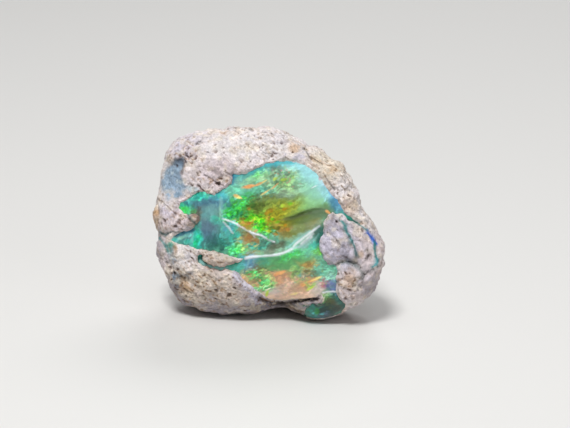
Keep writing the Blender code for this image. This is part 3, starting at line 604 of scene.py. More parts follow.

# Soft zones of body colour: colour, centre u and v, half-lengths, turn in degrees, strength, and how much
# the colour sparkles there. Some are partly painted shade or sheen, as marked below.
ZONES = [
    (SEA, 0, 0, 14, 12, 0, 0.05, 0.6),
    # the upper bowl, from its rim down
    (DEEP_BLUE, -4.3, 6, 0.6, 1.2, -10, 1, 0.3), (TEAL, -2.6, 6.6, 1.8, 0.5, 25, 1.4, 0.5),
    (LAGOON, 0.6, 7.7, 2.2, 0.5, 12, 2, 0.3), (LAGOON, -3, 6.2, 1.6, 0.4, 20, 1.4, 0.4),
    # the pale zones at the upper right, on this line and the next, are partly the milky rim and partly
    # painted sheen
    (HAZE_AND_SHEEN, 3.4, 7.5, 1.7, 0.6, -12, 1.4, 0.2), (HAZE_AND_SHEEN, 5.6, 6.3, 1.7, 1, -45, 1.2, 0.15),
    (FROST_AND_HIGHLIGHT, 7.3, 5.4, 0.7, 0.5, -50, 0.9, 0.2), (HAZE_AND_SHEEN, 7.2, 4.5, 1.5, 0.6, -56, 1.3, 0.2),
    (SKY, 8.5, 3.7, 1.7, 0.4, -56, 1.7, 0.3), (DEEP_BLUE, 8.8, 2.3, 0.9, 0.5, -50, 1.3, 0.3),
    (STEEL, 9.3, 1.7, 0.8, 0.35, -45, 1.6, 0.6), (PINE, 11.2, 0.2, 0.8, 0.4, -40, 1.6, 0.5),
    (TEAL, 10.2, 0.9, 0.8, 0.4, -40, 1.6, 0.5), (SAGE, -3, 5.6, 1.3, 0.7, 20, 1, 0.6),
    (GREEN, -1.4, 6.1, 1, 0.4, 25, 0.8, 0.9), (SAGE, -1.6, 5.6, 1.6, 0.5, 22, 0.9, 0.6),
    (SEA, -2.6, 4.7, 2, 0.8, 15, 0.9, 0.5), (SLATE, 1.3, 6.3, 1.2, 1.2, 0, 0.7, 0.9),
    (SAGE, 0.4, 6.2, 1.3, 0.9, 0, 0.9, 0.9), (SAGE, 2.4, 6.4, 1.4, 1, 0, 0.8, 0.8),
    (LEAF, 2.2, 5.2, 1.6, 0.7, 0, 0.9, 1.1), (MINT, 4.4, 5.4, 1.4, 1.1, -30, 0.9, 0.3),
    (MINT, 5.8, 3.8, 1.2, 1.5, -30, 1, 0.1), (LEAF, 4.9, 2.8, 1.6, 0.8, -10, 0.9, 0.15),
    (SEA, -4.4, 4.2, 1.4, 0.7, 10, 0.9, 0.6), (SEA, 0, 4.2, 1.4, 0.6, 25, 0.9, 0.8),
    (SAGE, 2.8, 4.2, 1.5, 0.6, 15, 1, 0.6), (SLATE, 2.5, 3.6, 1.2, 0.5, 0, 0.6, 0.5),
    (MOSS, -0.8, 2.9, 2.4, 0.6, 18, 1.2, 0.7), (DARK_MOSS, -1.6, 2.4, 1.2, 0.5, 25, 1, 0.7),
    (EMERALD, -4, 2.1, 1.9, 0.8, 24, 1.6, 1.2), (GREEN, -3.4, 2.5, 1.2, 0.3, 24, 1, 1.2),
    (EMERALD, -4.8, 1.2, 1.1, 0.7, 0, 1, 1), (PINE, -3.6, 0.9, 1.2, 0.4, 10, 1, 1),
    (MOSS, -1.6, 1.7, 1.6, 0.5, 15, 1.2, 0.8), (FIERY_GREEN, -1.7, 0.6, 1.5, 0.8, 0, 1.4, 1.5),
    (FIERY_GREEN, -0.6, -0.5, 1.1, 0.6, -30, 1.3, 1.4), (DARK_MOSS, 0.3, -0.9, 1, 0.5, -20, 1.3, 1.2),
    (DARK_MOSS, -1, -0.2, 0.5, 0.4, 0, 0.8, 1.2), (OLIVE, 1.4, 2.4, 2.3, 0.8, 22, 1.3, 0.6),
    (GOLD, 2.6, 2, 1.7, 0.6, 24, 1.3, 0.5), (GOLD, 0.9, 0.9, 1.4, 0.8, 20, 1.4, 0.8),
    (DARK_MOSS, 0.4, 1.6, 0.9, 0.4, 20, 0.9, 0.8), (RUST, 0, 0.5, 0.5, 0.4, 0, 1.2, 0.8),
    (RUST, -2.6, -0.1, 0.8, 0.4, 20, 1.5, 0.8), (RUST, 1.9, -0.7, 1, 0.5, 20, 1.4, 0.8),
    (LEAF, 3.6, 1.9, 1.6, 0.5, 18, 0.8, 0.2),
    # the crescent scoop, darker below its upper lip: partly the opal's own colour, partly painted shade
    (DARK_MOSS, 3.9, 1.2, 2.4, 0.35, 20, 1.7, 0.15), (MOSS, 4, 0.6, 2.6, 0.6, 18, 1.8, 0.15),
    (GREY_GREEN, 6.2, 1.3, 1.2, 0.6, 10, 1.9, 0.1), (GREY_GREEN, 5, 0.4, 1.2, 0.4, 20, 1, 0.1),
    (MOSS, 4.4, -0.3, 1.6, 0.6, 15, 1.9, 0.3), (GOLD, 1.9, 0, 1, 0.5, 10, 1, 0.8),
    (BRONZE, 5.7, -0.1, 1, 0.5, 35, 1.4, 0.2), (MOSS, 3.2, -1, 1.2, 0.5, 10, 1, 0.3),
    (BRONZE, 2.6, -1.5, 1.2, 0.5, 0, 1.1, 0.4), (SEA, 0.9, -1.9, 0.8, 0.4, -20, 1, 0.6),
    # between the two long ridges
    (LAGOON, -5, -0.6, 0.5, 0.9, -40, 1, 0.6), (AQUA, -4.3, -1.6, 0.7, 0.9, -30, 1.2, 1),
    (BRONZE, -3.1, -1.3, 0.8, 0.5, -25, 1, 0.5), (RUST, -2.9, -2.1, 0.9, 0.5, 30, 1.3, 0.6),
    (TEAL, -1.3, -2.9, 1.7, 0.4, 5, 1.3, 0.8), (GREEN, -3.8, -3.4, 0.9, 0.5, 30, 1.1, 1.2),
    (LEAF, -3.2, -2.8, 0.8, 0.4, 20, 0.9, 0.9), (BRONZE, -2.2, -3.7, 1.1, 0.3, 3, 1.2, 0.4),
    (UMBER, 0.8, -2.8, 1.3, 0.35, 12, 1.5, 0.4), (GREY_GREEN, 1, -3.3, 1.6, 0.4, 8, 1.2, 0.4),
    (SEA, 3.3, -2.6, 1.4, 0.6, 40, 1, 0.4), (DOVE, 4.6, -1.7, 1.8, 0.6, 42, 1.6, 0.3),
    (PINE, 6.6, -1.2, 0.7, 1, 20, 1.2, 0.4),
    # the left side
    (SLATE, -7.9, -0.9, 1.4, 1.3, 0, 1.5, 0.3), (PINE, -6.6, -2.2, 1.4, 1, 0, 1.2, 0.5),
    (TEAL, -5.9, -1.4, 0.9, 0.9, 0, 0.9, 0.6), (AQUA, -9.3, -1.8, 0.45, 1.5, 5, 3, 0.9),
    (STEEL, -11, -1.9, 1.4, 0.7, 0, 1.2, 0.8), (TEAL, -10.8, -2.4, 1, 0.4, 0, 0.8, 0.8),
    (GREEN, -11, 1.9, 0.8, 0.5, 20, 1.1, 0.9), (TEAL, -10.4, 2.4, 1, 0.5, 20, 1, 0.6),
    (UMBER, -9.3, 1.7, 0.6, 0.7, 0, 1.2, 0.4), (DEEP_BLUE, -8.2, 2.7, 2.6, 0.4, 0, 1.4, 0.4),
    (AQUA, -9.2, 3.7, 0.9, 0.4, 10, 1.3, 0.9), (LAGOON, -6.4, 3.6, 0.7, 0.5, 0, 1.2, 0.5),
    (STEEL, -7.4, 1.6, 1.3, 0.9, 0, 1.2, 0.3), (AQUA, -6.8, 0.5, 0.9, 0.4, -10, 1.2, 0.8),
    # the lower face, from the second ridge down to the cleft
    (GREEN, 2.9, -4.1, 1.5, 0.45, 20, 1.6, 0.9), (SEA, 5, -3.6, 1, 0.7, 0, 0.9, 0.4),
    (LIME, 6.2, -3.5, 0.6, 0.4, 10, 1.2, 0.7), (AQUA, 5.6, -2.9, 0.6, 0.4, 30, 1, 0.7),
    (TEAL, -3.9, -5.6, 1.1, 0.7, 20, 1.3, 0.5), (SKY, -2.5, -5.2, 0.8, 0.7, 0, 1.4, 0.5),
    (TEAL, -1, -4.9, 1.2, 0.5, 0, 1.1, 0.4), (FERN, 1.4, -5.2, 2.4, 0.7, 0, 1.4, 0.2),
    (FERN, 4, -4.5, 1.5, 0.6, 0, 1, 0.3), (RUST, 5, -5.2, 0.8, 0.4, 10, 1, 0.5),
    (BRONZE, 5.2, -6.3, 0.7, 0.5, -50, 1, 0.7), (BRONZE, -1.6, -6, 1.3, 0.5, 0, 1.1, 0.9),
    (GREEN, -1, -7.2, 1.3, 0.7, -15, 1.2, 1.3), (UMBER, -0.9, -7.6, 0.9, 0.6, 0, 1, 1.2),
    (SALMON, -0.2, -7, 0.7, 0.5, 0, 0.7, 0.9), (SALMON, -2.2, -7.7, 1, 0.4, -30, 1.1, 0.8),
    (GREEN, -0.6, -8.3, 0.8, 0.5, 0, 0.9, 1.2), (SALMON, 1.6, -7.1, 1.4, 0.6, 0, 1, 0.5),
    (SAND, 3, -8.2, 2.2, 1, -10, 1.2, 0.45), (PEARL, 2.4, -7.9, 1, 0.5, 0, 0.7, 0.5),
    (LEAF, 4, -7.4, 0.8, 0.4, 30, 0.6, 0.7), (PEARL, 0.8, -8.9, 0.8, 0.6, 0, 1.1, 0.3),
    (PEACH, 2.4, -9.5, 2.8, 0.5, 3, 1.6, 0.2), (LEAF, 3.3, -6.6, 0.5, 0.7, 0, 1.1, 0.8),
    (SLATE, 4.6, -6.8, 0.8, 0.3, 0, 0.9, 0.6), (SALMON, 4.6, -8, 0.7, 0.5, 0, 1, 0.5),
    (LIME, 5.5, -8.3, 0.5, 0.3, 0, 0.9, 0.7), (PEARL, 6.3, -8.9, 0.9, 0.6, 0, 1, 0.3),
    (SEA, 6.9, -5.9, 0.9, 0.6, 0, 1.2, 0.8), (MINT, 7.6, -7, 0.7, 0.5, 0, 1, 0.7),
    (VIOLET, 8.2, -8.1, 0.6, 0.6, 0, 1.5, 0.5), (ROSE, 7.2, -8, 0.4, 0.4, 0, 1.2, 0.6),
    # below the cleft, darker towards the bottom: partly the opal's own colour, partly painted shade
    (PINE, 8.4, -9.5, 0.9, 0.4, 0, 1.1, 0.8), (FERN, 7.4, -9.6, 0.4, 0.7, -20, 0.9, 0.7),
    (MOSS, 7.6, -10.2, 0.8, 0.4, -40, 1.4, 0.9), (UMBER, 8.6, -10.9, 0.9, 0.4, -15, 1.6, 0.5),
    (DEEP_TEAL, 8.4, -11.4, 1.2, 0.5, 0, 2.6, 0.6), (DEEP_TEAL, 6.8, -11.2, 1.6, 0.8, 0, 2.6, 0.7),
    (TEAL, 5.7, -11.3, 0.6, 0.7, 0, 1.4, 1), (LAGOON, 6.2, -12.3, 0.7, 0.25, 0, 1, 0.5),
    (VIOLET, 7.4, -12, 0.7, 0.3, 10, 0.6, 0.5), (PINE, 9.8, -10.8, 0.8, 0.8, 0, 1.2, 0.5),
    # the narrow arm beside the rock's spur
    (DEEP_TEAL, -9, -4.4, 0.5, 0.7, 0, 2, 0.5), (PINE, -8.2, -5.2, 0.8, 0.4, -25, 1.8, 0.4),
    (STEEL, -6.8, -5.7, 1.2, 0.3, -8, 1.6, 0.2),
]

# Sheets of one pure colour inside the opal: colour, centre u and v, half-lengths, turn, strength.
FLAKES = [
    (APRICOT, -2.5, 4.8, 0.95, 0.27, 10, 1), (APRICOT, -1.2, 5.15, 0.75, 0.16, 24, 0.9),
    (LEMON, -0.5, 5.5, 0.4, 0.12, 30, 0.7), (LEMON, -4, 3.45, 0.65, 0.24, -24, 1),
    (APRICOT, -4.3, 3.65, 0.3, 0.12, -24, 0.7), (LEMON, -0.4, 4.05, 0.85, 0.13, 35, 0.9),
    (APRICOT, 0.9, 4.9, 0.7, 0.11, 40, 0.9), (CHARTREUSE, 2, 5.7, 0.45, 0.2, 10, 0.6),
    (CHARTREUSE, 0.9, 5.8, 0.35, 0.2, 30, 0.6), (FROST_AND_HIGHLIGHT, 6, 4.8, 0.5, 0.07, 25, 0.8),
    (ROSE, 6.7, 5.9, 0.25, 0.35, 0, 0.6), (APRICOT, 7.7, 1.5, 0.45, 0.17, -35, 0.95),
    (APRICOT, 1.6, -6.4, 0.8, 0.26, 20, 0.95), (APRICOT, 1, -6.65, 0.4, 0.2, 30, 0.8),
    (APRICOT, 5.9, -7.3, 1, 0.24, 202, 0.9), (LEMON, 6.2, -7.18, 0.75, 0.14, 202, 1),
    (FIERY_GREEN, -2.3, 0.7, 0.45, 0.25, 20, 0.8), (CHARTREUSE, -1.4, 0.5, 0.35, 0.22, 0, 0.5),
    (FIERY_GREEN, -0.8, 0.4, 0.35, 0.28, 40, 0.8), (FIERY_GREEN, -1, -0.5, 0.45, 0.25, -30, 0.8),
    (CHARTREUSE, 0, -1, 0.35, 0.22, 0, 0.6), (FIERY_GREEN, 0.5, 0.6, 0.3, 0.22, 0, 0.6),
    (LIME, 1.2, 0.2, 0.4, 0.2, 20, 0.6), (DARK_MOSS, -0.5, -0.1, 0.3, 0.25, 0, 0.7),
    (DARK_MOSS, 1.3, -0.6, 0.45, 0.25, 30, 0.7), (AMBER, 2.2, -0.2, 0.3, 0.2, 20, 0.7),
    (RUST, 2.5, -0.75, 0.3, 0.3, 0, 0.7), (AMBER, 0.9, -1.4, 0.4, 0.18, -15, 0.6),
    (CHARTREUSE, 1.8, 2.3, 0.35, 0.25, 20, 0.5), (LIME, 2.8, 2.6, 0.35, 0.25, 0, 0.5),
    (AMBER, 2.1, 1.9, 0.5, 0.2, 20, 0.6), (AMBER, 0.3, 1.7, 0.6, 0.3, 20, 0.45),
    (RUST, -2.5, 1.9, 0.25, 0.2, 0, 0.6), (LIME, -0.6, -0.8, 0.5, 0.2, -20, 0.5),
    (EMERALD, -5, 1.5, 0.5, 0.2, 15, 0.6), (AMBER, -0.2, 1.3, 0.4, 0.25, 20, 0.5),
    (RUST, -1.5, -2.2, 0.35, 0.55, 40, 0.8), (RUST, -2.7, -1.9, 0.8, 0.35, 35, 0.8),
    (RUST, -2.5, 0, 0.6, 0.25, 20, 0.9), (CHARTREUSE, -0.2, -9.15, 0.5, 0.2, 75, 0.85),
    (LEMON, 3.3, -9.15, 0.7, 0.13, 15, 0.5), (APRICOT, 4.5, -8, 0.4, 0.25, 0, 0.8),
    (CHARTREUSE, 5.5, -8.4, 0.6, 0.16, 30, 0.7), (AQUA, -9.2, -1.9, 0.55, 1.3, 3, 0.85),
    (JADE, -9.1, -1.9, 0.35, 0.45, 0, 0.75), (JADE, -9.5, -2.65, 0.35, 0.5, 0, 0.9),
    (SLATE, -8.1, -0.6, 0.65, 1, 12, 0.55), (AQUA, -9, 3.75, 0.6, 0.28, 10, 0.85),
    (AQUA, -6.45, 3.5, 0.25, 0.3, 0, 0.8), (AQUA, -6.9, 0.75, 0.65, 0.3, -8, 0.6),
    (MINT, -6.3, 1.6, 0.14, 1.1, 0, 0.5), (GREEN, -10.8, 1.75, 0.65, 0.5, 0, 0.6),
    (AQUA, -11.3, 2.35, 0.3, 0.2, 0, 0.7), (LAGOON, -5.6, -0.7, 0.25, 0.35, -40, 0.9),
    (MINT, -11.4, -1.85, 0.6, 0.22, 15, 0.7), (AQUA, -12.2, -2.1, 0.4, 0.2, 20, 0.7),
    (AQUA, -10.5, -2.3, 0.5, 0.3, 0, 0.6), (GREEN, 2.7, -4.15, 1.3, 0.28, 20, 1),
    (GREEN, 3.6, -3.75, 0.5, 0.2, 40, 0.8), (GREEN, -3.6, 2.3, 1.3, 0.2, 26, 0.7),
    (GREEN, -4, -3.3, 0.7, 0.2, 30, 0.8), (AQUA, -3.9, -1.5, 0.35, 0.5, 0, 0.7),
    (AQUA, -4.9, -1.9, 0.25, 0.5, 20, 0.7), (EMERALD, 6.3, -11.5, 0.35, 0.55, 10, 0.6),
]

# Where small flecks of many colours lie: centre u and v, half-lengths, turn in degrees, amount.
FLECKED = [
    (1.4, 6.3, 1.7, 1, 10, 1), (3, 5.2, 1.4, 0.8, 0, 0.5), (-0.9, -7.2, 1.5, 1.1, 0, 0.9),
    (4.4, -7.4, 2.2, 0.9, 0, 0.8), (2.4, -9, 2.4, 0.5, 0, 0.3), (-2.6, -2.4, 1.2, 0.7, 0, 0.5),
    (7.4, -7, 0.8, 1, 0, 0.7), (-1.4, 0.4, 1.8, 0.8, 20, 0.4),
]
FLECK_COLOURS = [LIME, APRICOT, AQUA, CHARTREUSE, ROSE, GREEN, SLATE, SALMON]
FLECK_SIZE = 0.34
FLECK_SHARE = 0.4  # the share of the grains there that show one
FLECK_STRENGTH = 0.75

# Lines of colour: colour, width, strength, then the points of the line. The white lines and the pale lines
# along ridges, ribs and a fold are painted highlights on sharp edges, partly the opal's own pale translucent
# edges; the olive line is a painted shadow under the scoop's lip; the others are the opal's own colour.
PALE_LINES = [
    # from here to the fan's last line: painted highlights on the ridges' sharp edges and on the ribs fanning
    # out from the second ridge, partly their own pale translucent edges
    (FROST_AND_HIGHLIGHT, 0.085, 1, [
        (-6, 0.6), (-4.9, 0.3), (-4, -0.2), (-2.4, -1.1), (-0.9, -1.6), (0, -2.1), (0.7, -2.4)
    ]),
    (FROST_AND_HIGHLIGHT, 0.09, 0.6, [(-5.9, 0.2), (-5.3, -0.4), (-4.6, -1.2)]),
    (FROST_AND_HIGHLIGHT, 0.08, 0.5, [(-2.4, -1), (-2, -1.5), (-1.8, -1.8)]),
    (FROST_AND_HIGHLIGHT, 0.14, 1, [(-3, -4.5), (-1.8, -4.3), (0.2, -4.2), (1.4, -3.95), (2.2, -3.7), (3, -3.3)]),
    (FROST_AND_HIGHLIGHT, 0.11, 0.75, [(3, -3.3), (3.6, -2.6), (4.6, -1.75), (5.7, -0.95), (6.6, -0.3)]),
    (FROST_AND_HIGHLIGHT, 0.1, 0.6, [(3, -3.3), (4, -3), (4.9, -2.3), (5.6, -1.7)]),
    (PALE_AQUA, 0.07, 0.6, [(2.6, -3), (3.4, -2.3), (4.4, -1.6), (5.4, -0.9)]),
    (FROST_AND_HIGHLIGHT, 0.09, 0.5, [(4.2, -2.6), (4.9, -2), (5.8, -1.3)]),
    (PALE_AQUA, 0.08, 0.5, [(4.4, -3.2), (5.2, -2.7), (6, -2), (6.5, -1.3)]),
    (PALE_AQUA, 0.1, 0.5, [(2.2, -3), (3.4, -3.2), (4.4, -2.8), (5.3, -2.1)]),
    (PALE_AQUA, 0.1, 0.5, [(3.6, -3), (4.6, -3), (5.6, -2.4), (6.2, -1.8)]),
    (DEEP_BLUE, 0.2, 0.8, [(-4.7, 5.2), (-4.6, 6), (-4.2, 6.3)]),
    (LAGOON, 0.2, 0.6, [(-4.2, 6.3), (-2.2, 6.7), (-0.4, 7.6), (1.2, 7.95), (3.2, 7.9)]),
    (DEEP_BLUE, 0.2, 0.9, [(-11.9, -1.4), (-10.9, -1.15), (-9.9, -0.85)]),
    # a painted highlight down the fold
    (PALE_AQUA, 0.2, 0.45, [(-6.15, 3.2), (-6.15, 1.8), (-6.1, 0.6)]),
    # a painted highlight on an edge
    (FROST_AND_HIGHLIGHT, 0.07, 0.85, [(7.1, -8.95), (7.9, -8.85), (8.7, -8.9)]),
    (PALE_AQUA, 0.08, 0.5, [(-2.6, -4.8), (-2.7, -5.4), (-2.9, -6)]),
    (PALE_AQUA, 0.07, 0.45, [(-2, -4.7), (-1.9, -5.3)]),
    (PALE_AQUA, 0.14, 0.8, [(-8.9, -4.9), (-8.2, -5.45), (-7, -5.8), (-5.8, -5.9)]),
    # a painted shadow under the scoop's upper lip
    (OLIVE, 0.1, 0.4, [(1.5, 0.75), (3, 1.2), (4.5, 1.8)]),
]
LEAST_WIDTH = 0.08  # a thinner line would break up between the mesh's points

# Layers of noise by which the zones' borders wander along u and v.
WANDER_U = ((0.3, 1.6, 51), (0.16, 0.5, 53), (0.08, 0.22, 55))
WANDER_V = ((0.3, 1.6, 52), (0.16, 0.5, 54), (0.08, 0.22, 56))

# Grains that take their colour from somewhere near: their size, how near, their share and a seed. A grain's
# own number says how bright it is.
PATCHES = ((0.8, 0.9, 0.6, 61), (0.36, 0.6, 0.9, 71))
MOST_PATCH = 0.92
PATCH_SHADES = (0.5, 2.0)
PATCH_BIAS = 1.6  # above 1, most grains are dim and a few are bright
PATCH_EDGE = 0.2

ZONE_SHARPNESS = 1.2  # above 1, a zone is more level inside and ends more sharply
BODY_GAIN = 1.08
MOST_SPARKLE = 1.5

# The direction that the grains are drawn out in, in degrees, and the one that they have left of and below
# a corner. A pattern is scaled by this much along it, across it and into the stone.
FLOW_TURN = 22.0
LEFT_FLOW_TURN = 82.0
LEFT_FACET = (-6.2, 2.9)
FLOW_SCALES = (0.6, 1.35, 0.6)

# The flakes and the pale lines are uneven by these layers of noise.
FLAKE_SHADES = (0.3, 0.35, 59)
FLAKE_RAGGED = (0.15, 0.35, 60)
LINE_SHAKE = (0.05, 0.4, 57)
LINE_UNEVEN = (1.0, 0.9, 58)

FLAKE_SHIFTS = (0.15, 0.1)  # the share of the wandering that a flake's outline takes along u and v
FLAKE_TAPER = 0.5
FLAKE_EDGE = (1.3, 0.6)  # where a flake begins and where it is full, in half-lengths
LINE_SWING = 0.45  # how much the unevenness changes a line's width
LINE_SHARES = (0.85, 1.25)  # a line's strength where the unevenness is 0 and where it is 1
LINE_OUTER, LINE_INNER, LINE_BLUR = 1.7, 0.4, 0.04  # a line's edges in widths, and a blur in millimetres


def wandering(points, layers_u, layers_v):
    """How far noise shifts the points along u and v, in rows."""
    return np.stack([summed_noise(points, *layers_u), summed_noise(points, *layers_v)], axis=1)


def weighed_zones(u, v, zones, sharpness):
    """The colour and other values of soft zones, each zone's weighed by how near its middle a point is, and
    the weight of all of them together."""
    total = 0.0
    sums = 0.0
    for tone, cu, cv, half_u, half_v, turn, strength, *others in zones:
        along, across = turned(u, v, (cu, cv), turn)
        weight = strength * np.exp(-(((along / half_u) ** 2 + (across / half_v) ** 2) ** sharpness))
        total = total + weight
        sums = sums + weight[:, None] * np.array([*tone, *others])
    return sums / np.maximum(total, TINY)[:, None], total


def zone_colour(u, v):
    """The opal's body colour, and how much it sparkles."""
    values, _ = weighed_zones(u, v, ZONES, ZONE_SHARPNESS)
    return values[:, :3], values[:, 3]


def along_flow(points, bent):
    """The bent points in a grid that is drawn out along the opal's flow."""
    on_left_facet = (points[:, 0] < LEFT_FACET[0]) & (points[:, 1] < LEFT_FACET[1])
    left, right = (turned(*bent.T[:2], (0, 0), turn) for turn in (LEFT_FLOW_TURN, FLOW_TURN))
    along, across = np.where(on_left_facet, left, right)
    return np.stack([along, across, bent[:, 2]], axis=1) * FLOW_SCALES


def patched(colour, sparkle, bent, flowing):
    """The body colour broken up into grains, some of them dim and some bright."""
    for size, reach, share, seed in PATCHES:
        _, edge, own = grains(flowing, size, seed)
        patch, _ = zone_colour(*(bent + reach * (2 * own - 1)).T[:2])
        patch = patch * between(PATCH_SHADES, own[:, 2] ** PATCH_BIAS)[:, None]
        share = np.clip(share * sparkle, 0.0, MOST_PATCH) * step_up(0.0, PATCH_EDGE, edge)
        colour = mixed(colour, patch, share)
    return colour * BODY_GAIN


def flecked(colour, points, bent):
    """The colour with small flecks of many other colours."""
    near, _, own = grains(bent, FLECK_SIZE, 73)
    amount = np.clip(lump_height(*points.T[:2], FLECKED), 0.0, 1.0)
    shown = amount * (own[:, 0] < FLECK_SHARE) * step_up(0.6, 0.3, near)
    tones = np.array(FLECK_COLOURS)[(own[:, 1] * len(FLECK_COLOURS)).astype(int)]
    return mixed(colour, tones, FLECK_STRENGTH * shown)


def flaked(colour, points, warp, flowing):
    """The colour with its sheets of pure colour, each soft-edged and narrower towards its right end."""
    u, v = (points[:, :2] + FLAKE_SHIFTS * warp).T
    uneven = (1 + summed_noise(flowing, FLAKE_SHADES))[:, None]
    ragged = 1 + summed_noise(points, FLAKE_RAGGED)
    for tone, cu, cv, half_u, half_v, turn, strength in FLAKES:
        along, across = turned(u, v, (cu, cv), turn)
        along = along / half_u
        far = np.hypot(along, across / (half_v * (1 - FLAKE_TAPER * np.clip(along, 0, 1))))
        colour = mixed(colour, tone * uneven, strength * step_up(*FLAKE_EDGE, far * ragged))
    return colour


def lined(colour, points):
    """The colour with its lines, most of them painted highlights on edges and ribs and one a painted shadow,
    uneven in width and strength.
    """
    shake = summed_noise(points, LINE_SHAKE)
    uneven = summed_noise(points, LINE_UNEVEN)
    for tone, width, strength, line in PALE_LINES:
        far = distance_to_line(points[:, 0] + shake, points[:, 1] + shake, line)
        width = np.maximum(width * (1 + LINE_SWING * uneven), LEAST_WIDTH)
        shown = step_up(LINE_OUTER * width + LINE_BLUR, LINE_INNER * width, far)
        share = strength * shown * between(LINE_SHARES, uneven)
        colour = mixed(colour, tone, np.clip(share, 0.0, 1.0))
    return colour


def opal_colours(points):
    """The colour at each point of the opal, and how much it sparkles there."""
    warp = wandering(points, WANDER_U, WANDER_V)
    bent = np.column_stack([points[:, :2] + warp, points[:, 2]])
    flowing = along_flow(points, bent)
    colour, sparkle = zone_colour(*bent.T[:2])
    colour = patched(colour, sparkle, bent, flowing)
    colour = flecked(colour, points, bent)
    colour = flaked(colour, points, warp, flowing)
    colour = lined(colour, points)
    return np.clip(colour, 0.0, 1.0), np.clip(sparkle, 0.0, MOST_SPARKLE)


# ---- The rock's colours ----

CHALK = linear(238, 231, 230)
IVORY = linear(235, 222, 202)
BLUSH = linear(226, 211, 213)
BISCUIT = linear(212, 195, 180)
TAN_ROCK = linear(180, 156, 138)
LILAC = linear(206, 201, 220)
# A grey that is the rock's own colour in places, and painted shade along its lower and side edges.
ASH_AND_SHADE = linear(158, 152, 162)
OCHRE = linear(204, 162, 112)
TAUPE = linear(146, 124, 110)
BROWN = linear(104, 76, 58)
# A dark brown used as painted shade in the cleft, in cracks, creases and pits, and under overhangs.
PAINTED_SHADE = linear(52, 42, 36)
POTCH = linear(148, 176, 200)
POTCH_DARK = linear(92, 112, 134)
POTCH_PALE = linear(192, 208, 214)
BLUE_SEAM = linear(20, 100, 205)
TEAL_SEAM = linear(50, 140, 140)
DARK_TEAL = linear(45, 95, 95)

# Soft zones of rock colour on the broken face: colour, centre u and v, half-lengths, turn, strength. The
# dark zones in and under the cleft and at the bottom, and the grey ones along the lower, left and lower
# right edges, are painted shade.
ROCK_ZONES = [
    (CHALK, -2, 10.6, 8, 2, 0, 1), (BLUSH, -6.6, 6.6, 3, 2, 0, 1), (LILAC, -11, 10.2, 2, 1.2, 30, 0.7),
    (OCHRE, 3.5, 9.8, 0.7, 0.45, 0, 1.6), (TAN_ROCK, 2.8, 10.6, 0.6, 0.25, 0, 1),
    (LILAC, 3.4, 8.9, 1.6, 0.5, 0, 0.9), (IVORY, 8, 7.4, 2.6, 1.8, -35, 1.1),
    (OCHRE, 8.3, 7.1, 0.6, 0.4, 0, 1.4), (OCHRE, 6.4, 8, 1, 0.3, -35, 0.9),
    (CHALK, 9.8, 4.8, 1.4, 2, 20, 1), (OCHRE, 10.4, 2.6, 0.8, 1.2, 20, 0.6),
    (CHALK, 12, 1.2, 1.6, 1.6, -40, 0.9), (LILAC, 9.2, -2.8, 2.4, 2.6, 0, 2.2),
    (ASH_AND_SHADE, 8.3, -0.2, 0.9, 1, 0, 1), (BLUSH, 11.6, -2.6, 1.3, 2.6, 10, 1), (BLUSH, 13.6, -5, 1.5, 3, 0, 1),
    (BLUSH, 10.6, -8.4, 2.2, 2, 0, 1.1), (OCHRE, 10.6, -7.2, 0.8, 0.8, 0, 1.3),
    # the grey zone at the lower right is painted shade towards the edge
    (TAN_ROCK, 10.4, -8.3, 0.8, 0.6, 0, 1.6), (ASH_AND_SHADE, 13, -8.4, 1.4, 1.2, 30, 1),
    # the grey zone at u 5.2 is a grey rock's own colour; the dark zones in and under the cleft are painted
    # shade
    (ASH_AND_SHADE, 5.2, -10.4, 1.8, 0.4, 6, 1.8), (PAINTED_SHADE, 1.2, -10.8, 2, 0.4, 0, 2.2),
    (PAINTED_SHADE, 3.6, -11.4, 1.4, 0.4, -20, 1.6), (BISCUIT, -6.6, -4.7, 2.6, 0.9, -14, 1.2),
    (TAN_ROCK, -5.2, -5.1, 1.2, 0.5, -20, 1), (BISCUIT, -8, -8.4, 4.6, 2.2, -14, 1.2),
    (IVORY, -9.4, -7.4, 2.6, 1, -20, 0.9), (OCHRE, -11, -8.1, 1, 0.6, -20, 2.4),
    (OCHRE, -9, -6.7, 0.9, 0.35, -20, 0.9), (LILAC, -3.2, -7.6, 2.4, 0.7, -52, 1.2),
    (LILAC, -1.4, -10, 1.4, 0.8, -20, 1.2), (CHALK, -10.8, -4.8, 2, 1.4, -30, 1.1),
    (BLUSH, -12.4, 0.4, 2, 1.2, 0, 1), (LILAC, -13, 1.4, 1, 0.7, 0, 0.8),
    (OCHRE, -14.7, 0.8, 0.5, 1.1, 0, 1.6), (TAUPE, -9.3, 0.7, 0.9, 0.9, 0, 4),
    # the grey and dark zones on this line and the next two, along the bottom and the left edge, are painted
    # shade
    (BLUSH, -14, -3.6, 0.8, 2.4, 0, 0.9), (ASH_AND_SHADE, -5, -11.2, 6.5, 0.9, -3, 1.6),
    (PAINTED_SHADE, -1.5, -11, 1.8, 0.6, 8, 1.4), (ASH_AND_SHADE, -12.4, -9, 0.9, 2, 30, 1.3),
    (ASH_AND_SHADE, -14.6, -3.6, 0.5, 2.4, 0, 1.4), (POTCH_PALE, -9.8, 4.3, 0.7, 0.35, 0, 1.6),
    (POTCH, -12.7, -4, 0.6, 0.6, 0, 1.6), (TEAL, -12.9, -3.2, 0.6, 0.4, 0, 3),
    (OCHRE, -12.2, -3.5, 0.4, 0.5, 0, 1.6), (POTCH_DARK, -12.6, -4.7, 0.5, 0.3, 20, 1.6),
    (POTCH, -11.8, -6.7, 0.6, 0.5, 0, 4), (POTCH_DARK, -12, -7.4, 0.6, 0.6, 0, 5),
    (POTCH_DARK, -10.2, -6.6, 0.6, 0.3, 20, 3.5),
]
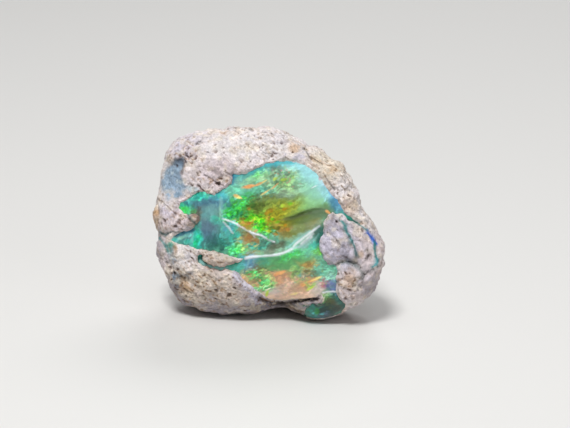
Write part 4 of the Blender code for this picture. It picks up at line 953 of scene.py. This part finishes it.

# Thin seams of common opal in the rock, and dark lines of painted shade in cracks, creases, a pit and the
# cleft, under the potch hollow's rim and under the grey lobe: colour, width, strength, then the points of
# the line.
SEAMS_AND_SHADE_LINES = [
    (TEAL_SEAM, 0.2, 0.9, [(9.4, 0.4), (9.9, -0.3), (10.2, -1.2), (10.8, -2.2), (11.1, -3.2)]),
    (DARK_TEAL, 0.26, 0.9, [(11, -2.9), (11.2, -3.5), (11.5, -4.2)]),
    # painted shade in cracks, on this line and the next
    (PAINTED_SHADE, 0.1, 0.7, [(13.6, -5.9), (12.9, -6.1), (12.6, -6.7), (12.3, -7.3)]),
    (PAINTED_SHADE, 0.1, 0.7, [(10.7, -3), (11.2, -3.1), (11.5, -3)]),
    (TEAL_SEAM, 0.14, 0.8, [(9.3, 1.6), (10.6, 0.6), (11.6, 0), (12.7, -0.8)]),
    (BLUE_SEAM, 0.26, 0.95, [(12.8, -1.2), (13.4, -1.9), (14.1, -2.7)]),
    (TEAL_SEAM, 0.18, 0.95, [(13.9, -2.6), (13.85, -3.8), (14.1, -4.8)]),
    (LAGOON, 0.22, 0.95, [(14.2, -4.7), (14, -5.2), (13.4, -5.6)]),
    (DARK_TEAL, 0.15, 0.85, [(-14.2, -1.2), (-13.5, -1.5), (-12.6, -1.1), (-11, -1.1)]),
    (DARK_TEAL, 0.11, 0.75, [(-10.5, 1.5), (-10.3, 0.8), (-9.9, 0.3), (-9.5, 0)]),
    (BROWN, 0.1, 0.8, [(-14.8, 3.2), (-14, 3), (-13.4, 2.5), (-12.8, 1.9), (-12, 1.2)]),
    (TEAL_SEAM, 0.16, 0.8, [(-14.3, -2), (-13.5, -2.8), (-13.2, -3.6)]),
    # painted shade in creases, cracks and a pit, on this line and the next three
    (PAINTED_SHADE, 0.12, 0.7, [(4.9, 9.4), (5.3, 8.7), (5.8, 8.5), (6.5, 8), (7, 7.7)]),
    (PAINTED_SHADE, 0.1, 0.6, [(7.3, 6.3), (7.8, 5.4), (8.5, 4.4)]),
    (PAINTED_SHADE, 0.07, 0.7, [(-0.8, 9.35), (-0.3, 9), (0.5, 8.95)]),
    (PAINTED_SHADE, 0.09, 0.8, [(-9.5, 10.4), (-9.2, 10.7), (-8.9, 10.85)]),
    # painted shade in the cleft
    (PAINTED_SHADE, 0.24, 0.9, [*CLEFT, (6.2, -9.8)]),
    (RUST, 0.12, 0.6, [(-0.9, -9.7), (-0.2, -10.1), (0.6, -10.25)]),
    # painted shadow under the potch hollow's rim
    (PAINTED_SHADE, 0.16, 0.6, [(-12.3, 8.35), (-11.5, 8.5), (-10.95, 7.9), (-11, 7.2), (-11.35, 6.6)]),
    # painted shade under the grey lobe
    (PAINTED_SHADE, 0.45, 0.4, [(9, -5), (9.8, -4.9), (10.6, -5), (11.4, -5.3)]),
    (DARK_TEAL, 0.35, 0.5, [(8.4, -5.3), (10, -4.9), (11.6, -5.5), (12.2, -6.6)]),
]

# Painted shade in pits: centre u and v, radius.
PIT_SHADE_SPOTS = [
    (4.65, 9.8, 0.28), (-10.7, 9.15, 0.25), (-10, 8.8, 0.2), (-7.9, 9.2, 0.18), (-2.4, 12.4, 0.3),
    (0.3, 11.8, 0.2), (9.9, 4.4, 0.14), (10.4, 4.3, 0.16), (8.9, 3.8, 0.16), (12.9, -4.3, 0.35),
    (12.8, -3.4, 0.22), (-13.3, -5, 0.28), (-11.4, -6.9, 0.28), (-10.2, -6.6, 0.22), (-8, -7.5, 0.16),
    (11.6, -8.7, 0.18), (14.2, -5.6, 0.2), (8.35, 1.2, 0.28), (-11.6, -2.6, 0.22), (-6.6, -3.8, 0.2),
    (-12.1, 1.4, 0.2), (-12.3, -0.3, 0.15),
]

# Where the rock is most pitted, and where it is folded: centre u and v, half-lengths, turn in degrees,
# amount.
PITTED = [
    (-8, -8.6, 5.5, 2.2, -10, 0.8), (-6.4, 5.6, 2.6, 0.9, 10, 0.6), (-10.2, 8.8, 1.6, 1.2, 0, 0.5),
    (8.6, 5.6, 1.4, 3, 25, 0.5), (-6.4, -4.8, 2.4, 0.8, -14, 0.3), (10.5, -7.8, 1.6, 1.5, 0, 0.8),
    (-11.8, 0.2, 1.6, 0.8, 0, 0.4),
]
FOLDED = [
    (9.2, -2.6, 2.4, 2.8, 0, 1.2), (-6.6, 6.2, 3.2, 2.2, 0, 1), (10.4, -8.4, 1.6, 1.8, 0, 0.6),
    (-8, -8, 5, 2.2, -10, 0.5),
]

# How pitted the rock is everywhere, and the layers of noise that are added everywhere and on the back.
PITTED_ALL_OVER = 0.2
PITTED_PATCHES = (0.25, 3.0, 28)
PITTED_BACK = (0.4, 5.0, 27)

# Washes of colour over the unseen back, then over the whole rock: colour, strength, the size, layers and
# seed of the noise that places it, and the noise at which it begins and at which it is full.
BACK_WASHES = [(TAN_ROCK, 0.55, 5.0, 3, 103, 0.0, 0.35), (CHALK, 0.7, 4.0, 3, 104, 0.1, 0.4)]
WASHES = [
    (OCHRE, 0.55, 2.0, 3, 91, 0.25, 0.7), (ASH_AND_SHADE, 0.4, 1.5, 3, 95, 0.3, 0.7),
    (IVORY, 0.5, 0.7, 1, 101, 0.0, 0.6), (LILAC, 0.16, 0.5, 1, 102, 0.0, 0.6),
]

# Layers of noise: how the zones' borders wander along u and v, the rock's light and dark, how uneven the
# seams are, and how the seams, the painted shade in pits, the specks and the potch are shaken out of smooth
# shapes.
ROCK_WANDER_U = ((0.4, 1.4, 81), (0.15, 0.4, 82))
ROCK_WANDER_V = ((0.4, 1.4, 83), (0.15, 0.4, 84))
MOTTLE = ((0.12, 0.8, 86), (0.2, 0.36, 87), (0.16, 0.2, 89))
SEAM_UNEVEN = (0.9, 0.8, 99)
SHAKE = ((0.16, 0.6, 98), (0.07, 0.22, 93))
SPECK_SHAKE = (0.06, 0.3, 94)
POTCH_SHAKE = (0.3, 0.6, 96)

# The depths w between which the front's forms and colours take over from the back's.
FORMS_FRONT = (-2.0, 0.0)
COLOURS_FRONT = (-3.0, -1.5)

ROCK_ZONE_SHARPNESS = 1.5
ZONE_HALF = 0.25  # the weight of zones that hides half of the rock's own colour

# Blotches on the chalk: their size, and the noise at which each of two colours begins and is full.
BLOTCH_SIZE = 3.2
BLUSHED = (-0.3, 0.4)
BISCUITED = (-0.1, -0.6)

# Slanting forms: how far each is stretched along and across the slant, and its size.
SLANT = -38.0
FOLD_STRETCH, FOLD_SIZE = (2.4, 0.8), 0.55
DASH_STRETCH, DASH_SIZE = (1.7, 0.7), 0.3
GOUGE_STRETCH, GOUGE_SIZE = (1.7, 0.75), 0.5

# How light, dark and speckled the rock is. Shares, dashes and starts go from where it isn't pitted to where
# it is most pitted, and a range or an edge from where a mark begins to where it is full.
ROCK_GAIN = 0.985
# FOLD_SHADE: how much the folds' crests are painted lighter and their hollows darker, as painted shade.
FOLD_SHADE = 0.3
MOTTLE_SHARES = (0.65, 1.15)
OCHRE_DASHES, OCHRE_RANGE = (0.05, 0.65), (0.2, 0.5)
BROWN_DASHES, BROWN_STARTS, BROWN_FULL = (0.2, 0.95), (0.5, 0.35), 0.75
SPECK_SIZE = 0.38
SPECK_SHARES, SPECK_EDGE = (0.02, 0.44), (0.46, 0.15)
SPECK_STRENGTHS = (0.55, 1.0)  # from the faintest speck to the strongest

# The potch pales and turns to crumbs downwards, between these heights. The shades of its crackle are each a
# colour, a strength, and the noise at which it begins and is full.
CRACKLE_SIZE = 0.6
POTCH_PALING = (8.3, 6.9)
POTCH_CRUMBLING = (4.9, 3.6)
POTCH_SHADES = ((POTCH_PALE, 0.8, 0.1, 0.5), (SLATE, 0.6, -0.15, -0.5))
POTCH_CRUMBS, POTCH_CRUMB_RANGE = 0.6, (-0.2, 0.2)
POTCH_STRENGTH = 0.9
POTCH_EDGE = (-0.35, 0.35)

# Seams, and the painted shade in pits and pores.
SEAM_NARROWEST = 0.25
SPOT_STRENGTH = 0.85
SPOT_FORWARD = 0.05  # how much nearer a point counts for each millimetre that it is further forward
PORE_SHADE_STRENGTH = 0.75
PORE_GAIN = 1.4


def slanted(points, along, across):
    """The points in a grid that runs down to the right across the face, stretched by these amounts."""
    u, v = turned(points[:, 0], points[:, 1], (0, 0), SLANT)
    return np.stack([u / along, v / across, points[:, 2]], axis=1)


def folds(points):
    """Slanting folds of the rock, from -1 to 1, where it has them."""
    u, v, w = points.T
    amount = np.clip(lump_height(u, v, FOLDED), 0.0, 1.0) * step_up(*FORMS_FRONT, w)
    return amount * soft_noise(slanted(points, *FOLD_STRETCH), FOLD_SIZE, 40)


def pitted_amount(points):
    """How pitted the rock is, from 0 to 1: in zones on the front and in broad patches on the back."""
    u, v, w = points.T
    front = step_up(*FORMS_FRONT, w)
    zones = lump_height(u, v, PITTED) * front + summed_noise(points, PITTED_BACK) * (1 - front)
    return np.clip(PITTED_ALL_OVER + zones + summed_noise(points, PITTED_PATCHES), 0.0, 1.0)


def washed(colour, points, washes, where=1.0):
    """The colour with broad soft stains of other colours."""
    for tone, strength, size, layers, seed, begins, full in washes:
        stain = step_up(begins, full, layered_noise(points, size, seed, layers))
        colour = mixed(colour, tone, strength * where * stain)
    return colour


def speckled(colour, points):
    """The colour made lighter and darker in spots, and as painted shade lighter on the folds' crests and
    darker in their hollows, with slanting dashes and small brown specks.
    """
    pitted = pitted_amount(points)
    mottle = summed_noise(points, *MOTTLE) * between(MOTTLE_SHARES, pitted)
    # the folds are painted lighter on their crests and darker in their hollows: painted shade
    colour = colour * (ROCK_GAIN + mottle + FOLD_SHADE * folds(points))[:, None]
    dashes = soft_noise(slanted(points, *DASH_STRETCH), DASH_SIZE, 88)
    colour = mixed(colour, OCHRE, between(OCHRE_DASHES, pitted) * step_up(*OCHRE_RANGE, dashes))
    brown = step_up(between(BROWN_STARTS, pitted), BROWN_FULL, dashes)
    colour = mixed(colour, BROWN, between(BROWN_DASHES, pitted) * brown)
    near, _, own = grains(points + summed_noise(points, SPECK_SHAKE)[:, None], SPECK_SIZE, 92)
    specks = (own[:, 0] < between(SPECK_SHARES, pitted)) * step_up(*SPECK_EDGE, near)
    return mixed(colour, BROWN, between(SPECK_STRENGTHS, own[:, 1]) * specks)


def potched(colour, points, front):
    """The colour with the crackled blue potch that lines the hollow at the upper left."""
    u, v, _ = points.T
    depth = depth_inside(u, v, POTCH_HOLLOW) + summed_noise(points, POTCH_SHAKE)
    crackle = layered_noise(points, CRACKLE_SIZE, 97)
    blue = mixed(POTCH_DARK, POTCH, step_up(*POTCH_PALING, v))
    for tone, strength, begins, full in POTCH_SHADES:
        blue = mixed(blue, tone, strength * step_up(begins, full, crackle))
    crumbs = step_up(*POTCH_CRUMBLING, v) * step_up(*POTCH_CRUMB_RANGE, crackle)
    blue = mixed(blue, BISCUIT, POTCH_CRUMBS * crumbs)
    return mixed(colour, blue, POTCH_STRENGTH * front * step_up(*POTCH_EDGE, depth))


def seamed(colour, points, shake, front):
    """The colour with its thin seams and its lines of painted shade, uneven in width."""
    uneven = np.maximum(1 + summed_noise(points, SEAM_UNEVEN), SEAM_NARROWEST)
    for tone, width, strength, line in SEAMS_AND_SHADE_LINES:
        far = distance_to_line(points[:, 0] + shake, points[:, 1] - shake, line)
        colour = mixed(colour, tone, front * strength * np.exp(-((far / (width * uneven)) ** 2)))
    return colour


def spotted(colour, points, shake):
    """The colour with painted shade in its pits, each round the point of the front that is nearest to its
    place.
    """
    u, v, w = points.T
    for cu, cv, radius in PIT_SHADE_SPOTS:
        spot = points[np.argmin(np.hypot(u - cu, v - cv) - SPOT_FORWARD * w)]
        far = np.linalg.norm(points + shake[:, None] - spot, axis=1)
        colour = mixed(colour, PAINTED_SHADE, SPOT_STRENGTH * np.exp(-((far / radius) ** 2)))
    return colour


def rock_colours(points, pores):
    """The colour at each point of the rock, darker in its pores as painted shade."""
    front = step_up(*COLOURS_FRONT, points[:, 2])
    blotch = layered_noise(points, BLOTCH_SIZE, 85)
    colour = mixed(CHALK, BLUSH, step_up(*BLUSHED, blotch))
    colour = mixed(colour, BISCUIT, step_up(*BISCUITED, blotch))
    u, v = (points[:, :2] + wandering(points, ROCK_WANDER_U, ROCK_WANDER_V)).T
    zones, weight = weighed_zones(u, v, ROCK_ZONES, ROCK_ZONE_SHARPNESS)
    colour = mixed(colour, zones, front * weight / (weight + ZONE_HALF))
    colour = washed(colour, points, BACK_WASHES, 1 - front)
    colour = washed(colour, points, WASHES)
    colour = speckled(colour, points)
    colour = potched(colour, points, front)
    shake = summed_noise(points, *SHAKE)
    colour = seamed(colour, points, shake, front)
    colour = spotted(colour, points, shake)
    # painted shade in the pores: they are darkened towards brown by how deep they are
    colour = mixed(colour, BROWN, PORE_SHADE_STRENGTH * np.clip(pores * PORE_GAIN, 0.0, 1.0))
    return np.clip(colour, 0.0, 1.0)


# ---- Where opal and rock meet ----

CONTACT_WOBBLE = 0.12
CONTACT_WOBBLE_SIZE = 0.7
CONTACT_OFFSET = 5.0  # where the wobble's pattern starts
CONTACT_NICKS = (0.09, 0.3, 36)  # a layer of noise
NARROWED = [(-7.8, -5.4, 1.5, 0.7, -14, 0.1)]  # where the opal's arm is narrower than in the solid part
ROCK_BANK = 1.7  # slope of the rock's edge, up from the opal
OPAL_BANK = 1.3  # slope at which the opal dips under the rock
UNDER_OPAL = 1.0  # how far the rock lies under the opal, well inside the window
ROCK_MARGIN = 0.4  # how far inside the window the rock's mesh is still fine
OPAL_MARGIN = 0.7  # how far outside the window the opal still lies under the rock
BEHIND_RIM = -0.05  # the lowest height on the unit sphere at which there is opal
FAR_OUTSIDE = -10.0  # the depth inside the window that all of the back is given

# The rock's fine relief: how high its forms are and how wide, and two layers of noise.
ROUGH_HEIGHT, ROUGH_SIZE = 0.16, 1.7
FOLD_HEIGHT = 0.16
GRIT = (0.05, 0.25, 25)
RELIEF_SHAKE = (0.12, 0.45, 20)

# The rock's pores are round pits and gouges. Each pair goes from where it isn't pitted to where it is most
# pitted, but ROUND_REACHES goes from the smallest pits to the largest, as shares of ROUND_SIZE.
PORE_DEPTH = 0.42
ROUND_SIZE = 1.0
ROUND_SHARES = (0.2, 0.6)
ROUND_REACHES = (0.12, 0.4)
GOUGE_SHARE = 0.8  # a gouge's depth as a share of a pore's
GOUGE_START = (0.72, 0.32)
GOUGE_FULL = (1.0, 0.75)

# Crumbs of two kinds, from coarse to fine: their height and size, the share of their size at which they
# level off, how much their tops differ, the share of the difference that is taken off, and a seed.
CRUMBS = ((0.2, 0.85, 0.35, 0.3, 0.5, 24), (0.13, 0.42, 0.4, 0.4, 0.0, 35))
CRUMB_EDGE = 0.3

# The opal's hidden side: its width as a share of the face's, and the least thickness.
FLOOR_SHARE = 0.93
LEAST_THICKNESS = 0.8


def window_depth(points):
    """How far each point is inside the opal's window, in millimetres, and negative outside it."""
    u, v, w = points.T
    across = depth_inside(u, v, WINDOW)
    hollow = np.abs((points - HOLLOW_CENTRE) / HOLLOW_RADII) ** HOLLOW_POWER
    deep = (1 - hollow.sum(axis=1) ** (1 / HOLLOW_POWER)) * HOLLOW_RADII[2]
    return np.where(w > HOLLOW_CENTRE[2], across, np.minimum(across, deep))


def wobbled_window(points):
    """The depth inside the window with its natural, uneven edge."""
    wobble = sampled(noise.noise, points, CONTACT_WOBBLE_SIZE, CONTACT_OFFSET)
    wobble -= lump_height(points[:, 0], points[:, 1], NARROWED) / CONTACT_WOBBLE
    return window_depth(points) + CONTACT_WOBBLE * wobble + summed_noise(points, CONTACT_NICKS)


def fine_grain(points):
    """The small roughness of the rock, and how deep each point lies in a pore."""
    height = ROUGH_HEIGHT * layered_noise(points, ROUGH_SIZE, 21)
    height += summed_noise(points, GRIT) + FOLD_HEIGHT * folds(points)
    bent = points + summed_noise(points, RELIEF_SHAKE)[:, None]
    for top, size, level, spread, middle, seed in CRUMBS:
        _, edge, own = grains(bent, size, seed)
        uneven = spread * (own[:, 0] - middle) * step_up(0.0, CRUMB_EDGE, edge)
        height += top * (np.minimum(edge, level) + uneven)
    pitted = pitted_amount(points)
    near, _, own = grains(bent, ROUND_SIZE, 26)
    picked = own[:, 0] < between(ROUND_SHARES, pitted)
    round_pits = picked * step_up(between(ROUND_REACHES, own[:, 1]), 0.0, near)
    gouges = soft_noise(slanted(bent, *GOUGE_STRETCH), GOUGE_SIZE, 29)
    gouges = step_up(between(GOUGE_START, pitted), between(GOUGE_FULL, pitted), gouges)
    pores = np.maximum(round_pits, GOUGE_SHARE * gouges)
    return height - PORE_DEPTH * pores, pores


class Sheets(NamedTuple):
    """The rock's and the opal's smooth sheets, as two places for each point of one triangle mesh."""

    faces: np.ndarray
    rock: np.ndarray
    opal: np.ndarray
    normals: np.ndarray  # the rock's
    grain: np.ndarray  # how far the rough rock stands out from its sheet
    pores: np.ndarray  # how deep the point lies in a pore, from 0 to 1
    over: np.ndarray  # how high the rough rock is over the opal
    inside: np.ndarray  # how far inside the window the point is


def stone_sheets(low, high):
    """The sheets on a mesh that is finer where the depth inside the window is between low and high."""

    def near_window(directions):
        inside = window_depth(stone_points(directions, rock_face))
        return (directions[:, 2] > BEHIND_RIM) & (low < inside) & (inside < high)

    sphere, faces = sphere_arrays(FINE_SUBDIVISIONS, near_window)
    rock = stone_points(sphere, carved_rock_face)
    opal = stone_points(sphere, opal_face)
    normals = mesh_normals(rock, faces)
    fine, pores = fine_grain(rock)
    grain = sampled(rock_grain, rock) - GRAIN_MEAN + fine
    over = (rock - opal)[:, 2] * normals[:, 2] + grain
    inside = np.where(sphere[:, 2] > BEHIND_RIM, wobbled_window(rock), FAR_OUTSIDE)
    return Sheets(faces, rock, opal, normals, grain, pores, over, inside)


def rock_mesh():
    """The rock's points, triangles and attributes: banked down to the opal, and just under it inside."""
    sheets = stone_sheets(-math.inf, ROCK_MARGIN)
    bank = np.minimum(sheets.over, -ROCK_BANK * sheets.inside)
    height = np.where(sheets.inside > 0, np.maximum(bank, -UNDER_OPAL), bank)
    points = sheets.rock + sheets.normals * (sheets.grain + height - sheets.over)[:, None]
    return points, sheets.faces, {"body": rock_colours(points, sheets.pores)}


def opal_mesh():
    """The opal's points, triangles and attributes: its face, its edge under the rock and its floor."""
    sheets = stone_sheets(-OPAL_MARGIN, math.inf)
    dip = OPAL_BANK * sheets.inside
    inner = np.minimum(0.0, sheets.over + dip)
    height = np.where(sheets.inside > 0, inner, np.minimum(0.0, sheets.over) + dip)
    points = sheets.opal + sheets.normals * height[:, None]
    faces = sheets.faces[(sheets.inside[sheets.faces] > -OPAL_MARGIN).all(axis=1)]
    used, faces = np.unique(faces, return_inverse=True)
    points, faces = points[used], faces.reshape(-1, 3)
    body, sparkle = opal_colours(points)
    attributes = {"body": np.tile(body, (2, 1)), "sparkle": np.tile(sparkle, 2)}
    return *closed_with_floor(points, faces), attributes


def closed_with_floor(points, faces):
    """The open sheet joined to a copy of itself on the hollow's floor, as one closed body."""
    under = HOLLOW_CENTRE + (points - HOLLOW_CENTRE) * FLOOR_SHARE
    room = 1 - (np.abs((under - HOLLOW_CENTRE) / HOLLOW_RADII)[:, :2] ** HOLLOW_POWER).sum(axis=1)
    floor = HOLLOW_CENTRE[2] - HOLLOW_RADII[2] * np.clip(room, 0, 1) ** (1 / HOLLOW_POWER)
    under[:, 2] = np.minimum(floor, points[:, 2] - LEAST_THICKNESS)
    edges = np.concatenate([faces[:, [0, 1]], faces[:, [1, 2]], faces[:, [2, 0]]])
    key = np.sort(edges, axis=1) @ np.array([len(points), 1])
    _, first, count = np.unique(key, return_index=True, return_counts=True)
    start, end = edges[first[count == 1]].T
    below = len(points)
    walls = np.concatenate([[end, start, start + below], [end, start + below, end + below]], axis=1).T
    return np.concatenate([points, under]), np.concatenate([faces, faces[:, ::-1] + below, walls])


def placed_in_metres(points):
    """Points of the face frame carried to the resting stone, in metres, with its foot flat on the floor."""
    placed = (leaned(points) - STONE_ORIGIN) * MM
    placed[:, 2] = np.maximum(placed[:, 2], 0.0)
    return placed


def made_object(name, points, faces, attributes):
    """A smooth-shaded mesh object in metres, with its point attributes: floats, or colours by row."""
    mesh = bpy.data.meshes.new(name)
    mesh.from_pydata(placed_in_metres(points), [], faces)
    mesh.validate()
    for key, values in attributes.items():
        if values.ndim == 1:
            mesh.attributes.new(key, "FLOAT", "POINT").data.foreach_set("value", values)
        else:
            rows = np.column_stack([values, np.ones(len(values))])
            mesh.attributes.new(key, "FLOAT_COLOR", "POINT").data.foreach_set("color", rows.ravel())
    mesh.shade_smooth()
    made = bpy.data.objects.new(name, mesh)
    bpy.context.scene.collection.objects.link(made)
    return made


# ---- Materials ----

# Noise and cells have their scale per metre, and bumps their distance in metres.
GRAIN = {"Scale": 5200.0, "Detail": 4.0, "Roughness": 0.7}
GRAIN_BUMP = {"Strength": 0.7, "Distance": 0.00012}
SPECKLE = {"Scale": 2100.0, "Detail": 3.0, "Roughness": 0.65}
SPECKLE_BUMP = {"Strength": 0.7, "Distance": 0.0002}
SWIRL = {"Scale": 4000.0, "Detail": 2.0}
SWIRL_SHARE = 0.00018
CELLS = {"Scale": 4300.0, "Smoothness": 0.7}

# Ranges that the noise and the cells' three numbers are carried from and to.
NOISE_MIDDLE, GRAIN_SHADES, SPECKLE_SHADES = (0.38, 0.62), (0.83, 1.07), (0.86, 1.06)
SPECKLE_SPAN, ROCK_ROUGHNESS = (0.3, 0.7), (0.78, 0.98)
ALL_CELLS, HUE_SHIFT, BRIGHTNESS_SHIFT = (0.0, 1.0), (-0.025, 0.025), (-0.2, 0.22)
FEW_CELLS, MIRROR = (0.7, 0.8), (0.0, 0.3)
SAME_HUE = 0.5  # what leaves the hue alone

ROCK_LOOKS = {"Specular IOR Level": 0.35}
OPAL_LOOKS = {
    "Roughness": 0.3, "IOR": 1.45, "Specular IOR Level": 0.2,
    "Coat Weight": 1.0, "Coat Roughness": 0.09, "Coat IOR": 1.45,
}


def fill(node, values):
    """Puts values on a node's inputs, by their names or numbers: links where they are sockets."""
    for key, value in values.items():
        if isinstance(value, bpy.types.NodeSocket):
            node.id_data.links.new(value, node.inputs[key])
        else:
            node.inputs[key].default_value = value


def add_node(tree, kind, values, **settings):
    """The outputs of a new shader node with these inputs and settings."""
    node = tree.nodes.new(kind)
    for key, setting in settings.items():
        setattr(node, key, setting)
    fill(node, values)
    return node.outputs


def node_material(name):
    """A new material, its node tree and its shader."""
    made = bpy.data.materials.new(name)
    made.use_nodes = True
    return made, made.node_tree, made.node_tree.nodes["Principled BSDF"]


def object_place(tree):
    """The place on the object in metres."""
    return add_node(tree, "ShaderNodeTexCoord", {})["Object"]


def attribute(tree, name, output):
    """What the mesh carries at its points under this name."""
    return add_node(tree, "ShaderNodeAttribute", {}, attribute_name=name)[output]


def combined(tree, operation, first, second):
    """Two numbers added or multiplied."""
    return add_node(tree, "ShaderNodeMath", {0: first, 1: second}, operation=operation)[0]


def ranged(tree, value, span, to_span):
    """The value carried from one range to another, held at the ends."""
    values = dict(enumerate((value, *span, *to_span)))
    return add_node(tree, "ShaderNodeMapRange", values, clamp=True)[0]


def rhyolite_material():
    """Porous rock: dull, with a sugary grain, and darker in its pores by the painted shade that its body
    colour carries.
    """
    made, tree, shader = node_material("rhyolite")
    place = object_place(tree)
    grain = add_node(tree, "ShaderNodeTexNoise", {"Vector": place, **GRAIN})["Fac"]
    speckle = add_node(tree, "ShaderNodeTexNoise", {"Vector": place, **SPECKLE})["Fac"]
    grain_shade = ranged(tree, grain, NOISE_MIDDLE, GRAIN_SHADES)
    speckle_shade = ranged(tree, speckle, NOISE_MIDDLE, SPECKLE_SHADES)
    shade = combined(tree, "MULTIPLY", grain_shade, speckle_shade)
    grey = add_node(tree, "ShaderNodeCombineColor", {0: shade, 1: shade, 2: shade})[0]
    layers = {0: 1.0, 6: attribute(tree, "body", "Color"), 7: grey}
    colour = add_node(tree, "ShaderNodeMix", layers, data_type="RGBA", blend_type="MULTIPLY")[2]
    rough = ranged(tree, speckle, SPECKLE_SPAN, ROCK_ROUGHNESS)
    fine = add_node(tree, "ShaderNodeBump", {"Height": grain, **GRAIN_BUMP})[0]
    coarse = add_node(tree, "ShaderNodeBump", {"Height": speckle, "Normal": fine, **SPECKLE_BUMP})[0]
    fill(shader, {"Base Color": colour, "Roughness": rough, "Normal": coarse, **ROCK_LOOKS})
    return made


def opal_material():
    """Glassy opal: its play of colour in small cells, some mirror-like, under a smooth clear surface."""
    made, tree, shader = node_material("opal")
    place = object_place(tree)
    swirl = add_node(tree, "ShaderNodeTexNoise", {"Vector": place, **SWIRL})["Color"]
    bent = add_node(tree, "ShaderNodeMix", {0: SWIRL_SHARE, 4: place, 5: swirl}, data_type="VECTOR")[1]
    cells = add_node(tree, "ShaderNodeTexVoronoi", {"Vector": bent, **CELLS}, feature="SMOOTH_F1")["Color"]
    bright, shift, shine = add_node(tree, "ShaderNodeSeparateColor", {0: cells})
    sparkle = attribute(tree, "sparkle", "Fac")
    shift = combined(tree, "MULTIPLY", ranged(tree, shift, ALL_CELLS, HUE_SHIFT), sparkle)
    bright = combined(tree, "MULTIPLY", ranged(tree, bright, ALL_CELLS, BRIGHTNESS_SHIFT), sparkle)
    shine = combined(tree, "MULTIPLY", ranged(tree, shine, FEW_CELLS, MIRROR), sparkle)
    hue = combined(tree, "ADD", shift, SAME_HUE)
    value = combined(tree, "ADD", bright, 1.0)
    tinted = {"Color": attribute(tree, "body", "Color"), "Hue": hue, "Saturation": 1.0, "Value": value}
    colour = add_node(tree, "ShaderNodeHueSaturation", tinted)[0]
    fill(shader, {"Base Color": colour, "Metallic": shine, **OPAL_LOOKS})
    return made


# ---- Camera, floor and lights ----

PHOTO_SIZE = (570, 428)
PIXELS_PER_MM = 7.67
STONE_CENTRE_PX = (268.7, 223.5)  # where the face frame's origin shows in the frame
CAMERA_DISTANCE = 300.0
SENSOR = 36.0
NEAR_DEPTH = 3.0  # depth of the plane that is drawn at PIXELS_PER_MM
CLIP_START = 0.01

# Lights: name, place, size, power, colour, and whether they show in gloss: the wide panel alone is seen in
# the opal from the front. They look at one place.
LIGHTS_AIM = Vector((0.0, 0.0, 0.012))
WHITE = (1.0, 1.0, 1.0)
LIGHTS = [
    ("key", (-0.09, -0.24, 0.46), (0.14, 0.14), 2.1, WHITE, False),
    ("panel", (-0.06, -0.12, 0.55), (0.60, 0.40), 0.8, WHITE, True),
    ("fill", (0.42, -0.34, 0.22), (0.35, 0.35), 0.22, (0.95, 0.98, 1.0), True),
    ("rim", (0.10, 0.40, 0.36), (0.40, 0.20), 0.9, WHITE, True),
]
SKY_COLOUR = (0.86, 0.89, 0.93, 1.0)
SKY_POWER = 0.15

FLOOR_WIDTH = 6.0
FLOOR_GAP = 0.00001  # keeps the floor and the stone's flat foot from showing through each other
FLOOR_COLOUR = (0.70, 0.69, 0.67, 1.0)
FLOOR_ROUGHNESS = 0.6


def add_camera():
    """The camera looks square on to the broken face, as the photo does."""
    data = bpy.data.cameras.new("camera")
    data.sensor_width = SENSOR
    data.lens = SENSOR * CAMERA_DISTANCE * PIXELS_PER_MM / PHOTO_SIZE[0]
    data.clip_start = CLIP_START
    camera = bpy.data.objects.new("camera", data)
    bpy.context.scene.collection.objects.link(camera)
    u = (PHOTO_SIZE[0] / 2 - STONE_CENTRE_PX[0]) / PIXELS_PER_MM
    v = (STONE_CENTRE_PX[1] - PHOTO_SIZE[1] / 2) / PIXELS_PER_MM
    place = face_matrix() @ Vector((u, v, NEAR_DEPTH + CAMERA_DISTANCE)) - Vector(STONE_ORIGIN)
    camera.matrix_world = Matrix.Translation(place * MM) @ face_matrix().to_4x4()
    bpy.context.scene.camera = camera


def add_lights():
    """Soft panels round the stone, and a faint sky."""
    for name, place, size, power, colour, glossy in LIGHTS:
        data = bpy.data.lights.new(name, "AREA")
        data.shape = "ELLIPSE"
        data.size, data.size_y = size
        data.energy = power
        data.color = colour
        light = bpy.data.objects.new(name, data)
        bpy.context.scene.collection.objects.link(light)
        light.location = place
        light.rotation_euler = (LIGHTS_AIM - Vector(place)).to_track_quat("-Z", "Y").to_euler()
        light.visible_glossy = glossy
    world = bpy.data.worlds.new("studio")
    world.use_nodes = True
    fill(world.node_tree.nodes["Background"], {"Color": SKY_COLOUR, "Strength": SKY_POWER})
    bpy.context.scene.world = world
    bpy.context.scene.view_settings.view_transform = "Standard"


def add_floor():
    """A plain pale floor."""
    bpy.ops.mesh.primitive_plane_add(size=FLOOR_WIDTH, location=(0.0, 0.0, -FLOOR_GAP))
    floor = bpy.context.object
    floor.name = "floor"
    material, _, shader = node_material("floor")
    fill(shader, {"Base Color": FLOOR_COLOUR, "Roughness": FLOOR_ROUGHNESS})
    floor.data.materials.append(material)


def main():
    add_camera()
    add_floor()
    add_lights()
    rock = made_object("rock", *rock_mesh())
    rock.data.materials.append(rhyolite_material())
    opal = made_object("opal_body", *opal_mesh())
    opal.data.materials.append(opal_material())
    for piece, node, slot in ((rock, "matrix", "rhyolite"), (opal, "opal", "opal")):
        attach(piece, "root")
        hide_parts(node)


main()
